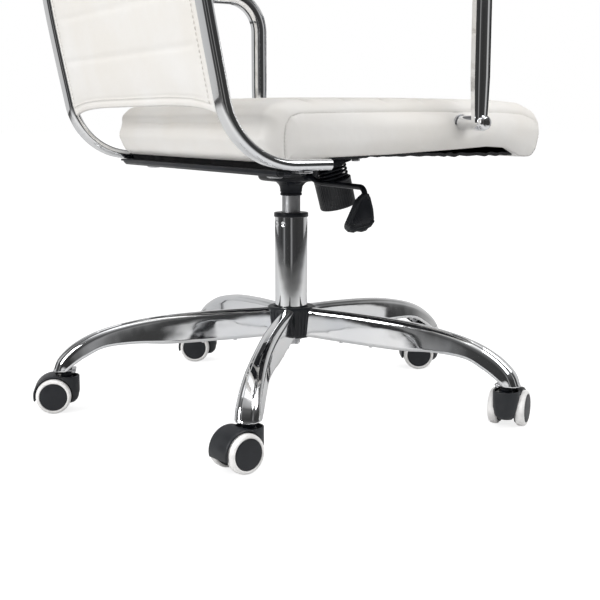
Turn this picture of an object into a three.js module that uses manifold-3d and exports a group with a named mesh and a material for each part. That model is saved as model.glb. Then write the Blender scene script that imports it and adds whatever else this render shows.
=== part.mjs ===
// Swivel office chair: five-star base on twin-wheel castors, gas lift, tilt mechanism, upholstered
// seat and back between two side rails. Millimetres, +Z up, front towards -Y, the sitter's right -X.
import * as THREE from "three";
import Module from "manifold-3d";
import { mergeVertices } from "three/addons/utils/BufferGeometryUtils.js";

const wasm = await Module();
wasm.setup();

// ---- driving dimensions ----
const GAP = 0.3; // left between pieces that touch

const LEG_YAWS = [69, 141, 213, 285, 357]; // degrees from +X, one leg each
const CASTOR_YAWS = [68, 98, 306, 61, 58]; // the way each castor trails
const STEM_CIRCLE_R = 347;
const LEG_WALL = 2.4;
const LEG_TIP_Z = 58.4;

const WHEEL_R = 26.75;
const WHEEL_SIDES = 16;
const WHEEL_INNER = 9.8; // inner and outer face of a wheel, from the castor's middle
const WHEEL_OUTER = 28.5;
const AXLE_R = 4;
const AXLE_Z = WHEEL_R * Math.cos(Math.PI / WHEEL_SIDES); // each wheel stands on one of its flats
const TRAIL = 19;
const HOOD_R = 30.5;
const NECK_R = 19;
const NECK_TOP = 55.6;
const STEM_R = 5.5;

const HUB_R = [34.5, 38.5]; // at its bottom and its top
const HUB_Z = [106, 152];
const COLUMN_R = 25;
const COLUMN_Z = [104, 293.5];
const COLUMN_WALL = 1.6;
const CYLINDER_R = 14;
const CYLINDER_Z = [118, 350];
const ROD_R = 5;
const LIFT_TRAVEL = 100;

const PAN_FLOOR = 346; // tilt mechanism housing
const PAN_TOP = 372;
const PAN_HALF_X = 48;
const PAN_Y = [-33, 52];
const PIVOT_Y = 20; // tilt axis
const PIVOT_Z = 366;
const ROCKER_X = -36; // axis of the lever's rocker
const ROCKER_Z = 354;
const LEVER_Y = -5;

const KNOB_Y = -80.2; // tension knob's centre, its axis leaning back towards the top
const KNOB_Z = 325;
const KNOB_LEAN = THREE.MathUtils.degToRad(15);
const KNOB_R = 29.3;
const KNOB_HALF = 22.5;
const SPRING_R = 26.8;
const TONGUE_AT = 46.5; // underside of the housing's tongue, up the knob's axis from its centre

const PLATE_Z = [381, 385];
const BOARD_Z = [392, 404];
const SEAT_HALF_X = 256.5;
const SEAT_TOP = 465;

const RAIL_X = 272; // middle of a side rail
const RAIL_W = 30;
const RAIL_T = 14;
const RAIL_Z = 382;
const RAIL_FRONT_Y = 95;
const BEND_Y = 154;
const BEND_R = 100;
const BACK_TOP_Z = 1075;

const ARM_X = 308;
const ARM_Y = -112;
const ARM_STUB_Z = 434;
const ARM_TOP_Z = 652;
const ARM_REAR_Y = 286;
const ARM_BEND_R = 60;
const ARM_W = 26;
const ARM_T = 17;

// ---- materials ----
const finish = (color, roughness, metalness) =>
  new THREE.MeshStandardMaterial({ color, roughness, metalness });
const chrome = () => finish(0xd9dbde, 0.12, 1);
const zinc = () => finish(0xb9bcc0, 0.35, 1);
const blackSteel = () => finish(0x15171a, 0.45, 0.6);
const blackPlastic = () => finish(0x1b1d21, 0.5, 0);
const greyTread = () => finish(0xdcdad8, 0.45, 0);
const whiteLeather = () => finish(0xe9e6e1, 0.5, 0);
const plywood = () => finish(0xb98f5e, 0.7, 0);
const fabric = () => finish(0x17181b, 0.95, 0);

// ---- the object ----
const chair = new THREE.Group();

function add(name, geometry, material, parent = chair) {
  const mesh = new THREE.Mesh(geometry, material);
  mesh.name = name;
  parent.add(mesh);
  return mesh;
}

// ---- shape helpers ----
const rad = THREE.MathUtils.degToRad;

// [radius, height] points turned about Z
function turned(points, sides = 20) {
  const outline = points.map(([r, z]) => new THREE.Vector2(r, z));
  return new THREE.LatheGeometry(outline, sides).rotateX(Math.PI / 2);
}

function ring(inner, outer, bottom, top, sides = 20) {
  return turned([[inner, bottom], [outer, bottom], [outer, top], [inner, top], [inner, bottom]], sides);
}

function rod(radius, bottom, top, sides = 16) {
  return turned([[0, bottom], [radius, bottom], [radius, top], [0, top]], sides);
}

function block(x, y, z) {
  const box = new THREE.BoxGeometry(x[1] - x[0], y[1] - y[0], z[1] - z[0]);
  return box.translate((x[0] + x[1]) / 2, (y[0] + y[1]) / 2, (z[0] + z[1]) / 2);
}

// a round bar along Y or X, about the point given
const alongY = (geometry, x, y, z) => geometry.rotateX(Math.PI / 2).translate(x, y, z);
const alongX = (geometry, x, y, z) => geometry.rotateY(Math.PI / 2).translate(x, y, z);

// a side profile of [y, z] points, carried across the chair from one x to the other
function across(points, x0, x1) {
  const shape = new THREE.Shape(points.map(([y, z]) => new THREE.Vector2(y, z)));
  const geometry = new THREE.ExtrudeGeometry(shape, { depth: x1 - x0, bevelEnabled: false });
  const toRow = new THREE.Matrix4().makeBasis(
    new THREE.Vector3(0, 1, 0), new THREE.Vector3(0, 0, 1), new THREE.Vector3(1, 0, 0));
  return geometry.applyMatrix4(toRow).translate(x0, 0, 0);
}

// closed rings of points, joined along their length and capped with their own outline
function loft(rings, outline) {
  const count = outline.length;
  const positions = rings.flat().flatMap((p) => [p.x, p.y, p.z]);
  const indices = [];
  for (let s = 0; s + 1 < rings.length; s++) {
    for (let i = 0; i < count; i++) {
      const a = s * count + i;
      const b = s * count + ((i + 1) % count);
      indices.push(a, b, a + count, b, b + count, a + count);
    }
  }
  const last = (rings.length - 1) * count;
  const flat = outline.map(([x, y]) => new THREE.Vector2(x, y));
  for (const [a, b, c] of THREE.ShapeUtils.triangulateShape(flat, [])) {
    indices.push(a, c, b, last + a, last + b, last + c);
  }
  const geometry = new THREE.BufferGeometry();
  geometry.setAttribute("position", new THREE.Float32BufferAttribute(positions, 3));
  geometry.setIndex(indices);
  return geometry;
}

// a round-ended bar's section, or a round one when the two sizes are equal
function stadium(width, thickness, perEnd = 4) {
  const r = thickness / 2;
  const points = [];
  for (let i = 0; i < 2 * perEnd; i++) {
    const side = i < perEnd ? 1 : -1;
    const a = (Math.PI * (i % perEnd) + Math.PI / 2) / perEnd - Math.PI / 2;
    points.push([side * (width / 2 - r + r * Math.cos(a)), side * r * Math.sin(a)]);
  }
  return points;
}

// carries a section along flat [y, z] points; place() puts one point of it into the row's frame
function sweep(points, outline, place) {
  const path = points.map(([a, b]) => new THREE.Vector2(a, b));
  const rings = path.map((p, i) => {
    const before = path[Math.max(i - 1, 0)];
    const after = path[Math.min(i + 1, path.length - 1)];
    const t = p.clone().sub(before).normalize().add(after.clone().sub(p).normalize()).normalize();
    return outline.map(([a, b]) => place(a, p.x - b * t.y, p.y + b * t.x));
  });
  return loft(rings, outline);
}

// points of a circular bend
function bend(centre, r, from, to, count) {
  return Array.from({ length: count + 1 }, (_, i) => {
    const a = from + ((to - from) * i) / count;
    return [centre[0] + r * Math.cos(a), centre[1] + r * Math.sin(a)];
  });
}

function solid(geometry) {
  const bare = new THREE.BufferGeometry();
  bare.setAttribute("position", geometry.getAttribute("position"));
  if (geometry.index) bare.setIndex(geometry.index);
  const merged = mergeVertices(bare, 1e-4);
  return new wasm.Manifold(new wasm.Mesh({
    numProp: 3,
    vertProperties: new Float32Array(merged.getAttribute("position").array),
    triVerts: new Uint32Array(merged.index.array),
  }));
}

function geometryOf(manifold) {
  const mesh = manifold.getMesh();
  const geometry = new THREE.BufferGeometry();
  geometry.setAttribute("position", new THREE.BufferAttribute(mesh.vertProperties, 3));
  geometry.setIndex(new THREE.BufferAttribute(mesh.triVerts, 1));
  geometry.computeVertexNormals();
  return geometry;
}

const joined = (...geometries) => geometries.map(solid).reduce((a, b) => a.add(b));
const without = (body, ...geometries) => geometries.map(solid).reduce((a, b) => a.subtract(b), body);

// ---- base ----
// Leg in its own plane: [distance from the column, height] along the crown and along the open edge.
const LEG_CROWN = [[38.9, 150], [110, 147.5], [190, 142], [250, 133], [298, 119], [331, 100], [353, 79],
  [363, LEG_TIP_Z]];
const LEG_EDGE = [[34.9, 107], [105, 103], [187, 100], [238, 102], [286, 98], [315, 85], [333, 71],
  [343, LEG_TIP_Z]];
const LEG_HALF_WIDTH = [11.5, 12, 13, 14, 15.5, 17, 17, 15];
const LEG_STATIONS = 10;

function along(points, t) {
  const curve = new THREE.SplineCurve(points.map(([a, b]) => new THREE.Vector2(a, b)));
  return curve.getPoint(t);
}

// inverted channel, [across, up] points, open at the bottom
function channel(half, height) {
  const round = Math.min(half, height) * 0.55;
  const inner = half - LEG_WALL;
  const outside = [[half, 0], [half, height - round], [half - 0.3 * round, height - 0.3 * round],
    [half - round, height]];
  const inside = [[inner, 0], [inner, height - round], [half - round, height - LEG_WALL]];
  const mirror = (list) => list.map(([x, y]) => [-x, y]).reverse();
  return [...outside, ...mirror(outside), ...mirror(inside).reverse(), ...inside.reverse()];
}

function legGeometry() {
  const widths = LEG_HALF_WIDTH.map((w, i) => [i, w]);
  const rings = [];
  for (let s = 0; s < LEG_STATIONS; s++) {
    const t = s / (LEG_STATIONS - 1);
    const crown = along(LEG_CROWN, t);
    const edge = along(LEG_EDGE, t);
    const up = crown.clone().sub(edge);
    const height = up.length();
    up.normalize();
    rings.push(channel(along(widths, t).y, height).map(([x, y]) =>
      new THREE.Vector3(edge.x + up.x * y, x, edge.y + up.y * y)));
  }
  const socket = rod(8.6, LEG_TIP_Z, LEG_TIP_Z + 24, 10).translate(STEM_CIRCLE_R, 0, 0);
  const web = block([STEM_CIRCLE_R - 4, STEM_CIRCLE_R + 9], [-13.6, 13.6], [LEG_TIP_Z + 3, LEG_TIP_Z + 6]);
  const bore = rod(STEM_R + GAP, LEG_TIP_Z - 1, LEG_TIP_Z + 21, 10).translate(STEM_CIRCLE_R, 0, 0);
  return geometryOf(without(joined(loft(rings, channel(10, 20)), socket, web), bore));
}

// ---- castor, its stem on the group's Z axis, trailing along +X ----
function hoodGeometry() {
  const neck = turned([[0, 13], [12, 13], [NECK_R - 2, 20], [NECK_R, 27], [NECK_R, NECK_TOP],
    [0, NECK_TOP]], 16);
  const mouth = turned([[9, 49], [15.5, 49], [15.5, 70], [0, 70], [0, NECK_TOP - 3], [9, NECK_TOP - 3],
    [9, 49]], 12);
  const arch = alongY(rod(HOOD_R, -20.5, 20.5, 20), TRAIL, 0, AXLE_Z);
  const below = block([TRAIL - 60, TRAIL + 60], [-30, 30], [-20, AXLE_Z - 7]);
  const wheelRoom = [-1, 1].map((side) => {
    const disc = alongY(rod(WHEEL_R + 1.3, 8.7, 30, 20), TRAIL, 0, AXLE_Z);
    return side < 0 ? disc : disc.translate(0, 38.7, 0);
  });
  const bores = [rod(STEM_R + GAP, 37, 60, 10), alongY(rod(AXLE_R + GAP, -25, 25, 10), TRAIL, 0, AXLE_Z)];
  const boss = alongY(rod(9, -8.7, 8.7, 12), TRAIL, 0, AXLE_Z);
  const shell = without(without(solid(arch), below).add(solid(neck)), mouth);
  return geometryOf(without(without(shell, ...wheelRoom).add(solid(boss)), ...bores));
}

function wheelGeometry() {
  const outline = [[0, WHEEL_OUTER], [22, WHEEL_OUTER], [25.8, WHEEL_OUTER - 2.2],
    [WHEEL_R, WHEEL_OUTER - 6], [WHEEL_R, WHEEL_INNER + 4], [24.5, WHEEL_INNER],
    [AXLE_R + GAP, WHEEL_INNER], [AXLE_R + GAP, 24], [0, 24]];
  const profile = outline.map(([r, y]) => new THREE.Vector2(r, y)).reverse();
  return new THREE.LatheGeometry(profile, WHEEL_SIDES, Math.PI / WHEEL_SIDES);
}

function addCastor(index, yaw) {
  const castor = new THREE.Group();
  castor.rotation.z = yaw;
  const stem = turned([[0, 38], [STEM_R, 38], [STEM_R, NECK_TOP - 3 + GAP], [8.4, NECK_TOP - 3 + GAP],
    [8.4, LEG_TIP_Z - GAP], [STEM_R, LEG_TIP_Z - GAP], [STEM_R, LEG_TIP_Z + 20], [0, LEG_TIP_Z + 20]], 10);
  add(`castor_stem_${index}`, stem, zinc(), castor);
  add(`castor_hood_${index}`, hoodGeometry(), blackPlastic(), castor);
  add(`castor_axle_${index}`, alongY(rod(AXLE_R, -23.5, 23.5, 10), TRAIL, 0, AXLE_Z), zinc(), castor);
  for (const [side, turn] of [["a", 0], ["b", Math.PI]]) {
    const wheel = add(`castor_wheel_${index}${side}`, wheelGeometry(), greyTread(), castor);
    wheel.position.set(TRAIL, 0, AXLE_Z);
    wheel.rotation.z = turn;
  }
  return castor;
}

LEG_YAWS.forEach((degrees, i) => {
  const arm = new THREE.Group();
  arm.rotation.z = rad(degrees);
  add(`leg_${i + 1}`, legGeometry(), chrome(), arm);
  const castor = addCastor(i + 1, rad(CASTOR_YAWS[i] - degrees));
  castor.position.x = STEM_CIRCLE_R;
  arm.add(castor);
  chair.add(arm);
});

add("base_hub", turned([[COLUMN_R + GAP, HUB_Z[0]], [HUB_R[0], HUB_Z[0]], [HUB_R[1], HUB_Z[1]],
  [COLUMN_R + GAP, HUB_Z[1]], [COLUMN_R + GAP, HUB_Z[0]]]), blackPlastic());

// ---- gas lift ----
const bore = COLUMN_R - COLUMN_WALL;
add("column_tube", turned([[8, COLUMN_Z[0]], [COLUMN_R, COLUMN_Z[0]], [COLUMN_R, COLUMN_Z[1]],
  [bore, COLUMN_Z[1]], [bore, COLUMN_Z[0] + 3], [8, COLUMN_Z[0] + 3], [8, COLUMN_Z[0]]]), chrome());
const bush = bore - GAP;
add("guide_bush", turned([[CYLINDER_R + GAP, 218], [bush, 218], [bush, COLUMN_Z[1] + GAP],
  [COLUMN_R + 0.6, COLUMN_Z[1] + GAP], [COLUMN_R + 0.6, COLUMN_Z[1] + 2.8],
  [CYLINDER_R + GAP, COLUMN_Z[1] + 3.4], [CYLINDER_R + GAP, 218]]), blackPlastic());
add("thrust_bearing", ring(ROD_R + GAP, 12, COLUMN_Z[0] + 3.3, COLUMN_Z[0] + 7.3, 20), zinc());
add("bottom_clip", ring(ROD_R + GAP, 12, 97, COLUMN_Z[0] - GAP, 16), zinc());
const pistonZ = CYLINDER_Z[1] - 30;
add("piston_rod", turned([[0, 94], [ROD_R, 94], [ROD_R, 111.6], [10, 111.6], [10, 113.6], [ROD_R, 113.6],
  [ROD_R, pistonZ], [12, pistonZ], [12, pistonZ + 8], [0, pistonZ + 8]], 16), zinc());
add("gas_cylinder", turned([[0, CYLINDER_Z[1] - 16], [12.4, CYLINDER_Z[1] - 16], [12.4, CYLINDER_Z[0]],
  [CYLINDER_R, CYLINDER_Z[0]], [CYLINDER_R, 326], [CYLINDER_R - 0.8, CYLINDER_Z[1]], [4.3, CYLINDER_Z[1]],
  [4.3, CYLINDER_Z[1] - 8], [0, CYLINDER_Z[1] - 8]]), zinc());
add("release_button", rod(4, CYLINDER_Z[1] - 4, CYLINDER_Z[1] + 7, 12), zinc());

// ---- tilt mechanism ----
// frame of the tension bolt: its origin is the knob's centre and its Z runs up the bolt
const boltFrame = new THREE.Group();
boltFrame.position.set(0, KNOB_Y, KNOB_Z);
boltFrame.rotation.x = -KNOB_LEAN;
boltFrame.updateMatrix();
chair.add(boltFrame);
const onBolt = (geometry) => geometry.applyMatrix4(boltFrame.matrix);

function housingGeometry() {
  const pan = block([-PAN_HALF_X, PAN_HALF_X], PAN_Y, [PAN_FLOOR, PAN_TOP]);
  const neck = rod(21, PAN_FLOOR - 1, PAN_FLOOR + 6, 20);
  const collar = turned([[0, 324], [16.5, 324], [16.5, 333], [17.5, 338], [21, PAN_FLOOR], [0, PAN_FLOOR]]);
  const tongue = onBolt(block([-30, 30], [-27, 37], [TONGUE_AT, TONGUE_AT + 3]));
  const inside = block([-PAN_HALF_X + 3, PAN_HALF_X - 3], [PAN_Y[0] + 3, PAN_Y[1] - 3],
    [PAN_FLOOR + 3, PAN_TOP + 1]);
  const hollow = without(solid(pan), inside).add(solid(neck)).add(solid(collar)).add(solid(tongue));
  const slotEnds = [-7.5, 1.5].map((y) => onBolt(rod(5.4, TONGUE_AT - 1, TONGUE_AT + 4, 12)
    .translate(0, y, 0)));
  const slotMiddle = onBolt(block([-5.4, 5.4], [-7.5, 1.5], [TONGUE_AT - 1, TONGUE_AT + 4]));
  const cylinderBore = rod(CYLINDER_R + GAP, 320, 360, 20);
  const axleBore = alongX(rod(ROD_R + GAP, -60, 60, 12), 0, PIVOT_Y, PIVOT_Z);
  const leverSlot = block([-PAN_HALF_X - 1, -40.5], [-13, 3], [PAN_FLOOR - 1, PAN_TOP + 1]);
  const ears = [[-15, -11.5], [1.5, 5]].map((y) =>
    block([ROCKER_X - 4, ROCKER_X + 4], y, [PAN_FLOOR + 2, ROCKER_Z + 5]));
  const trunnionBore = alongY(rod(3 + GAP, -20, 20, 12), ROCKER_X, 0, ROCKER_Z);
  const open = without(hollow, ...slotEnds, slotMiddle, cylinderBore, axleBore, leverSlot);
  return geometryOf(without(open.add(solid(ears[0])).add(solid(ears[1])), trunnionBore));
}
add("mech_housing", housingGeometry(), blackSteel());
add("tilt_axle", alongX(rod(ROD_R, -57, 57, 12), 0, PIVOT_Y, PIVOT_Z), zinc());

function rockerGeometry() {
  const hub = block([ROCKER_X - 9, ROCKER_X + 5.2], [-11, 1], [ROCKER_Z - 4.4, ROCKER_Z + 7]);
  const finger = block([ROCKER_X + 4.5, 5], [-7, 5], [CYLINDER_Z[1] + 7 + GAP, ROCKER_Z + 7]);
  const trunnions = alongY(rod(3, -4.7, 14.7, 12), ROCKER_X, 0, ROCKER_Z);
  const rodBore = alongX(rod(4 + GAP, -60, -28, 12), 0, LEVER_Y, ROCKER_Z);
  return geometryOf(without(joined(hub, finger, trunnions), rodBore));
}
add("lever_rocker", rockerGeometry(), blackSteel());

// the lever's line from the rocker out to the side and down into its paddle, as [x, z] points
const leverLine = [[-29, ROCKER_Z], [-46, ROCKER_Z], [-56, 351.5], [-68, 348], [-84, 346.2],
  ...bend([-184, 333.4], 12, Math.PI / 2, Math.PI, 4), [-196, 325]];
add("lever_rod", sweep(leverLine, stadium(8, 8), (a, x, z) => new THREE.Vector3(x, LEVER_Y + a, z)),
  blackSteel());

const paddleOutline = [[-10.5, 334], [0, 335.5], [8.5, 328.5], [26, 295], [18.5, 284], [-3, 286], [-12, 291],
  [-21, 300], [-19.5, 317]];
const paddle = across(paddleOutline, -202, -190);
const paddleBore = rod(4 + GAP, 324.5, 345, 10).translate(-196, LEVER_Y, 0);
add("lever_paddle", geometryOf(without(solid(paddle), paddleBore)), blackPlastic());

// the spring's envelope, partly inside the knob's cup
add("tension_spring", ring(SPRING_R - 4, SPRING_R, -6, TONGUE_AT - GAP, 20), blackSteel(), boltFrame);
add("tension_bolt", turned([[0, -18], [4.5, -18], [4.5, 51.5], [8, 51.5], [8, 54.6], [0, 54.6]], 12),
  zinc(), boltFrame);
add("tension_knob", turned([[4.8, -KNOB_HALF], [KNOB_R - 2, -KNOB_HALF], [KNOB_R, -KNOB_HALF + 2],
  [KNOB_R, KNOB_HALF], [SPRING_R + GAP, KNOB_HALF], [SPRING_R + GAP, -7], [4.8, -7], [4.8, -KNOB_HALF]]),
  blackPlastic(), boltFrame);

// ---- seat ----
function seatPlateGeometry() {
  const plate = block([-75, 75], [-98, 110], PLATE_Z);
  const ears = [-1, 1].map((side) => block(side < 0 ? [-54.5, -51.5] : [51.5, 54.5],
    [PIVOT_Y - 13, PIVOT_Y + 13], [PIVOT_Z - 9, PLATE_Z[0] + 1]));
  const axleBore = alongX(rod(ROD_R + GAP, -60, 60, 12), 0, PIVOT_Y, PIVOT_Z);
  return geometryOf(without(joined(plate, ...ears), axleBore));
}
add("seat_plate", seatPlateGeometry(), blackSteel());
add("dust_cover", block([-235, 235], [-226, 148], [PLATE_Z[1] + GAP, BOARD_Z[0] - GAP]), fabric());
add("seat_board", block([-240, 240], [-230, 150], BOARD_Z), plywood());

const seatProfile = [[158, 389.4], [172, 402], [176, 422], [172, 444], [160, 455], [144, 462],
  [60, SEAT_TOP], [-200, SEAT_TOP], [-232, 461], [-256, 450], [-265, 438], [-266, 422], [-262, 400],
  [-254, 387], [-236, 386.5], [-205, 399], [-170, 401], [-110, 396.5], [0, 391.5], [100, 389.4]];
const boardRoom = block([-240 - GAP, 240 + GAP], [-230 - GAP, 150 + GAP], [370, BOARD_Z[1] + GAP]);
add("seat_cushion", geometryOf(without(solid(across(seatProfile, -SEAT_HALF_X, SEAT_HALF_X)), boardRoom)),
  whiteLeather());

// ---- side rails and back ----
// the rail's middle line: level under the seat, a bend, then up the back with a slight S
const BEND_END = rad(78);
const bendPoint = (a) => [BEND_Y + BEND_R * Math.sin(a), RAIL_Z + BEND_R * (1 - Math.cos(a))];
const backCurve = new THREE.SplineCurve([bendPoint(BEND_END), [279, 600], [301, 740], [331, 880], [368, 1010],
  [390, BACK_TOP_Z]].map(([y, z]) => new THREE.Vector2(y, z)));
const BACK_STEPS = 9;
const backLine = Array.from({ length: BACK_STEPS }, (_, i) => backCurve.getPoint((i + 1) / BACK_STEPS))
  .map((p) => [p.x, p.y]);
const bendLine = bend([BEND_Y, RAIL_Z + BEND_R], BEND_R, -Math.PI / 2, BEND_END - Math.PI / 2, 7);
const railLine = [[RAIL_FRONT_Y, RAIL_Z], ...bendLine, ...backLine];
const acrossChair = (x0) => (a, y, z) => new THREE.Vector3(x0 - a, y, z);

for (const [side, sign] of [["right", -1], ["left", 1]]) {
  add(`rail_${side}`, sweep(railLine, stadium(RAIL_W, RAIL_T), acrossChair(sign * RAIL_X)), chrome());
}
add("crossbar", across([[130, 368.5], [133, 366], [167, 366], [170, 368.5], [170, 374.6], [130, 374.6]],
  -RAIL_X - 12, RAIL_X + 12), blackSteel());

// the cushion hangs between the rails, its lower edge a little down the bend
const CUSHION_FRONT = 27; // in front of the rail's middle line
const CUSHION_REAR = 6;
const backHalf = RAIL_X - RAIL_W / 2 - 0.6;
const cushionLine = [bendPoint(BEND_END - rad(5)), ...backLine];
const cushionSection = [[-backHalf, -CUSHION_REAR], [backHalf, -CUSHION_REAR], [backHalf, CUSHION_FRONT],
  [-backHalf, CUSHION_FRONT]];
add("back_cushion", sweep(cushionLine, cushionSection, acrossChair(0)), whiteLeather());

// flat bars behind the cushion, from rail to rail
for (const [name, t] of [["back_brace_lower", 0.32], ["back_brace_upper", 0.82]]) {
  const p = backCurve.getPoint(t);
  const lean = backCurve.getTangent(t);
  const brace = add(name, block([-RAIL_X - 10, RAIL_X + 10], [7.6, 12.6], [-17, 17]), chrome());
  brace.position.set(0, p.x, p.y);
  brace.rotation.x = -Math.atan2(lean.x, lean.y);
}

// ---- armrests: a stub from the seat's side, then up, back and in to the rail ----
function armGeometry(sign) {
  const line = [[ARM_Y, ARM_STUB_Z], ...bend([ARM_Y + ARM_BEND_R, ARM_TOP_Z - ARM_BEND_R], ARM_BEND_R, Math.PI,
    Math.PI / 2, 6), [ARM_REAR_Y + 4, ARM_TOP_Z]];
  const tube = sweep(line, stadium(ARM_W, ARM_T), acrossChair(sign * ARM_X));
  const stub = alongX(rod(10, -32.5, 32.5, 12), sign * (SEAT_HALF_X + GAP + 32.5), ARM_Y - 3, ARM_STUB_Z);
  const lug = alongX(rod(8, -12, 12, 12), sign * (RAIL_X + RAIL_W / 2 + GAP + 12), ARM_REAR_Y, ARM_TOP_Z);
  return geometryOf(joined(tube, stub, lug));
}

function addArmPad(side, sign) {
  const top = ARM_TOP_Z + ARM_T / 2 + GAP;
  const pad = across([[-58, top], [196, top], [204, top + 8], [196, top + 18], [-50, top + 18],
    [-64, top + 10]], sign * ARM_X - 25, sign * ARM_X + 25);
  add(`arm_pad_${side}`, pad, whiteLeather());
}

for (const [side, sign] of [["right", -1], ["left", 1]]) {
  add(`arm_tube_${side}`, armGeometry(sign), chrome());
  addArmPad(side, sign);
}

// origin: on the floor, under the middle of the object's box
chair.updateMatrixWorld(true);
const box = new THREE.Box3().setFromObject(chair);
chair.position.set(-(box.min.x + box.max.x) / 2, -(box.min.y + box.max.y) / 2, -box.min.z);
chair.updateMatrixWorld(true);

export default chair;
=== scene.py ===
import math

import bmesh
import bpy
import numpy as np
from mathutils import Matrix, Vector


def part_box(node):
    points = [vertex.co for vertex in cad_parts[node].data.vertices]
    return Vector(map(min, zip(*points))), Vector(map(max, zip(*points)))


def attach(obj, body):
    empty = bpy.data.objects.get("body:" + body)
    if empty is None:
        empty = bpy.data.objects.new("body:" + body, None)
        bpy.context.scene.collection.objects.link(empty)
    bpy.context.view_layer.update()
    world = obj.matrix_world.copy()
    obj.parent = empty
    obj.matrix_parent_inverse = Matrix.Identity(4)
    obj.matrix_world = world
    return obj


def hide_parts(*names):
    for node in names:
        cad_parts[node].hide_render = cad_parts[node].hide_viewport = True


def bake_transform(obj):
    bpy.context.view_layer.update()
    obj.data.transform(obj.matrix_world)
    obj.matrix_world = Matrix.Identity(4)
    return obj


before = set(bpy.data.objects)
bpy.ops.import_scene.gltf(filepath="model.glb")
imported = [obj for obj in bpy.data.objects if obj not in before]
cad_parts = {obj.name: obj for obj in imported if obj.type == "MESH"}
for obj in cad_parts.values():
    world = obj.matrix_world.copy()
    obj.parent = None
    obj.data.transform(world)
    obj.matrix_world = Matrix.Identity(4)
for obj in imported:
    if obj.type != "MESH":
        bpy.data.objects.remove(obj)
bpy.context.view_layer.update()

# Everything is shaped in millimetres about the gas lift's column, front towards -Y and the sitter's
# right towards -X, and make() puts it into the shared frame.

column_low, column_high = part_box("column_tube")
COLUMN = np.array([(column_low[0] + column_high[0]) / 2, (column_low[1] + column_high[1]) / 2, 0.0])
# the camera's right and its view direction, on the floor
RIGHT, AWAY = np.array([-0.5, -0.8660254]), np.array([0.8660254, -0.5])

LEG_YAWS = [69, 141, 213, 285, 357]
CASTOR_YAWS = [68, 98, 306, 61, 58]
STEM_CIRCLE_R = 347  # from the column out to the castors' stems
LEG_TIP_Z = 58.4
WHEEL_R = 26.2
AXLE_Z = 26.24
TRAIL = 19  # from a castor's stem back to its axle
PIVOT_Y, PIVOT_Z = 20, 366  # the seat's tilt pin
KNOB_AT = (0, -80.2, 325)
KNOB_LEAN = math.radians(15)
RAIL_X = 272
ARM_X = 308
STUB_Y, STUB_Z = -115, 434  # where the armrests enter the seat's sides
SEAT_HALF, BACK_HALF = 256.5, 256.3


# ---- shapes ----
class Shape:
    """Points and faces gathered into one piece, each face with the number of its finish."""

    def __init__(self):
        self.points, self.faces, self.finishes, self.count = [], [], [], 0

    def add(self, part, finish=0, place=None):
        points = np.asarray(part[0], float).reshape(-1, 3)
        if place is not None:
            m = np.array(place)
            points = points @ m[:3, :3].T + m[:3, 3]
        self.faces += [tuple(i + self.count for i in face) for face in part[1]]
        self.finishes += [finish] * len(part[1])
        self.points.append(points)
        self.count += len(points)
        return self


def tidy(mesh, crease):
    """Joins points that coincide, turns every shell outwards, and splits the shading at sharp edges."""
    bm = bmesh.new()
    bm.from_mesh(mesh)
    bmesh.ops.remove_doubles(bm, verts=bm.verts, dist=2e-6)
    bmesh.ops.dissolve_degenerate(bm, dist=1e-6, edges=bm.edges)
    bmesh.ops.recalc_face_normals(bm, faces=bm.faces)
    for face in bm.faces:
        face.smooth = True
    for edge in bm.edges:
        edge.smooth = len(edge.link_faces) != 2 or edge.calc_face_angle(0) < math.radians(crease)
    bm.to_mesh(mesh)
    bm.free()


def make(name, shape, finishes, body, nodes, crease=35):
    """The piece as an object that rides on its body and stands for its CAD nodes."""
    mesh = bpy.data.meshes.new(name)
    mesh.from_pydata((np.concatenate(shape.points) / 1000 + COLUMN).tolist(), [], shape.faces)
    for finish in finishes:
        mesh.materials.append(finish)
    mesh.polygons.foreach_set("material_index", shape.finishes)
    tidy(mesh, crease)
    piece = bpy.data.objects.new(name, mesh)
    bpy.context.collection.objects.link(piece)
    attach(piece, body)
    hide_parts(*nodes)
    return piece


def unit(vectors):
    """Vectors scaled to length 1."""
    return vectors / np.maximum(np.linalg.norm(vectors, axis=-1, keepdims=True), 1e-9)


def distances(points):
    """How far along a line of straight spans each of its points lies."""
    return np.concatenate([[0], np.cumsum(np.linalg.norm(np.diff(points, axis=0), axis=1))])


def at_x(x, line):
    """A flat [y, z] line as points in space."""
    return np.column_stack([np.full(len(line), x), line])


def at_z(flat, z):
    """A flat [x, y] line as points in space."""
    return np.column_stack([flat, np.full(len(flat), z)])


def spline(points, count):
    """Points on the smooth curve through the given ones, evenly spread over its spans."""
    p = np.asarray(points, float)
    p = p.reshape(len(p), -1)
    at = np.linspace(0, len(p) - 1, count)
    i = np.minimum(at.astype(int), len(p) - 2)
    w = (at - i)[:, None]
    p0, p1, p2, p3 = p[np.maximum(i - 1, 0)], p[i], p[i + 1], p[np.minimum(i + 2, len(p) - 1)]
    v0, v1 = (p2 - p0) / 2, (p3 - p1) / 2
    return (2 * p1 - 2 * p2 + v0 + v1) * w**3 + (3 * p2 - 3 * p1 - 2 * v0 - v1) * w**2 + v0 * w + p1


def even(points, count, closed=False):
    """Points at equal distances along a line of straight spans."""
    p = np.asarray(points, float)
    if closed:
        p = np.vstack([p, p[:1]])
    at = distances(p)
    wanted = np.linspace(0, at[-1], count + 1)[:-1] if closed else np.linspace(0, at[-1], count)
    return np.stack([np.interp(wanted, at, p[:, k]) for k in range(p.shape[1])], axis=1)


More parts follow.
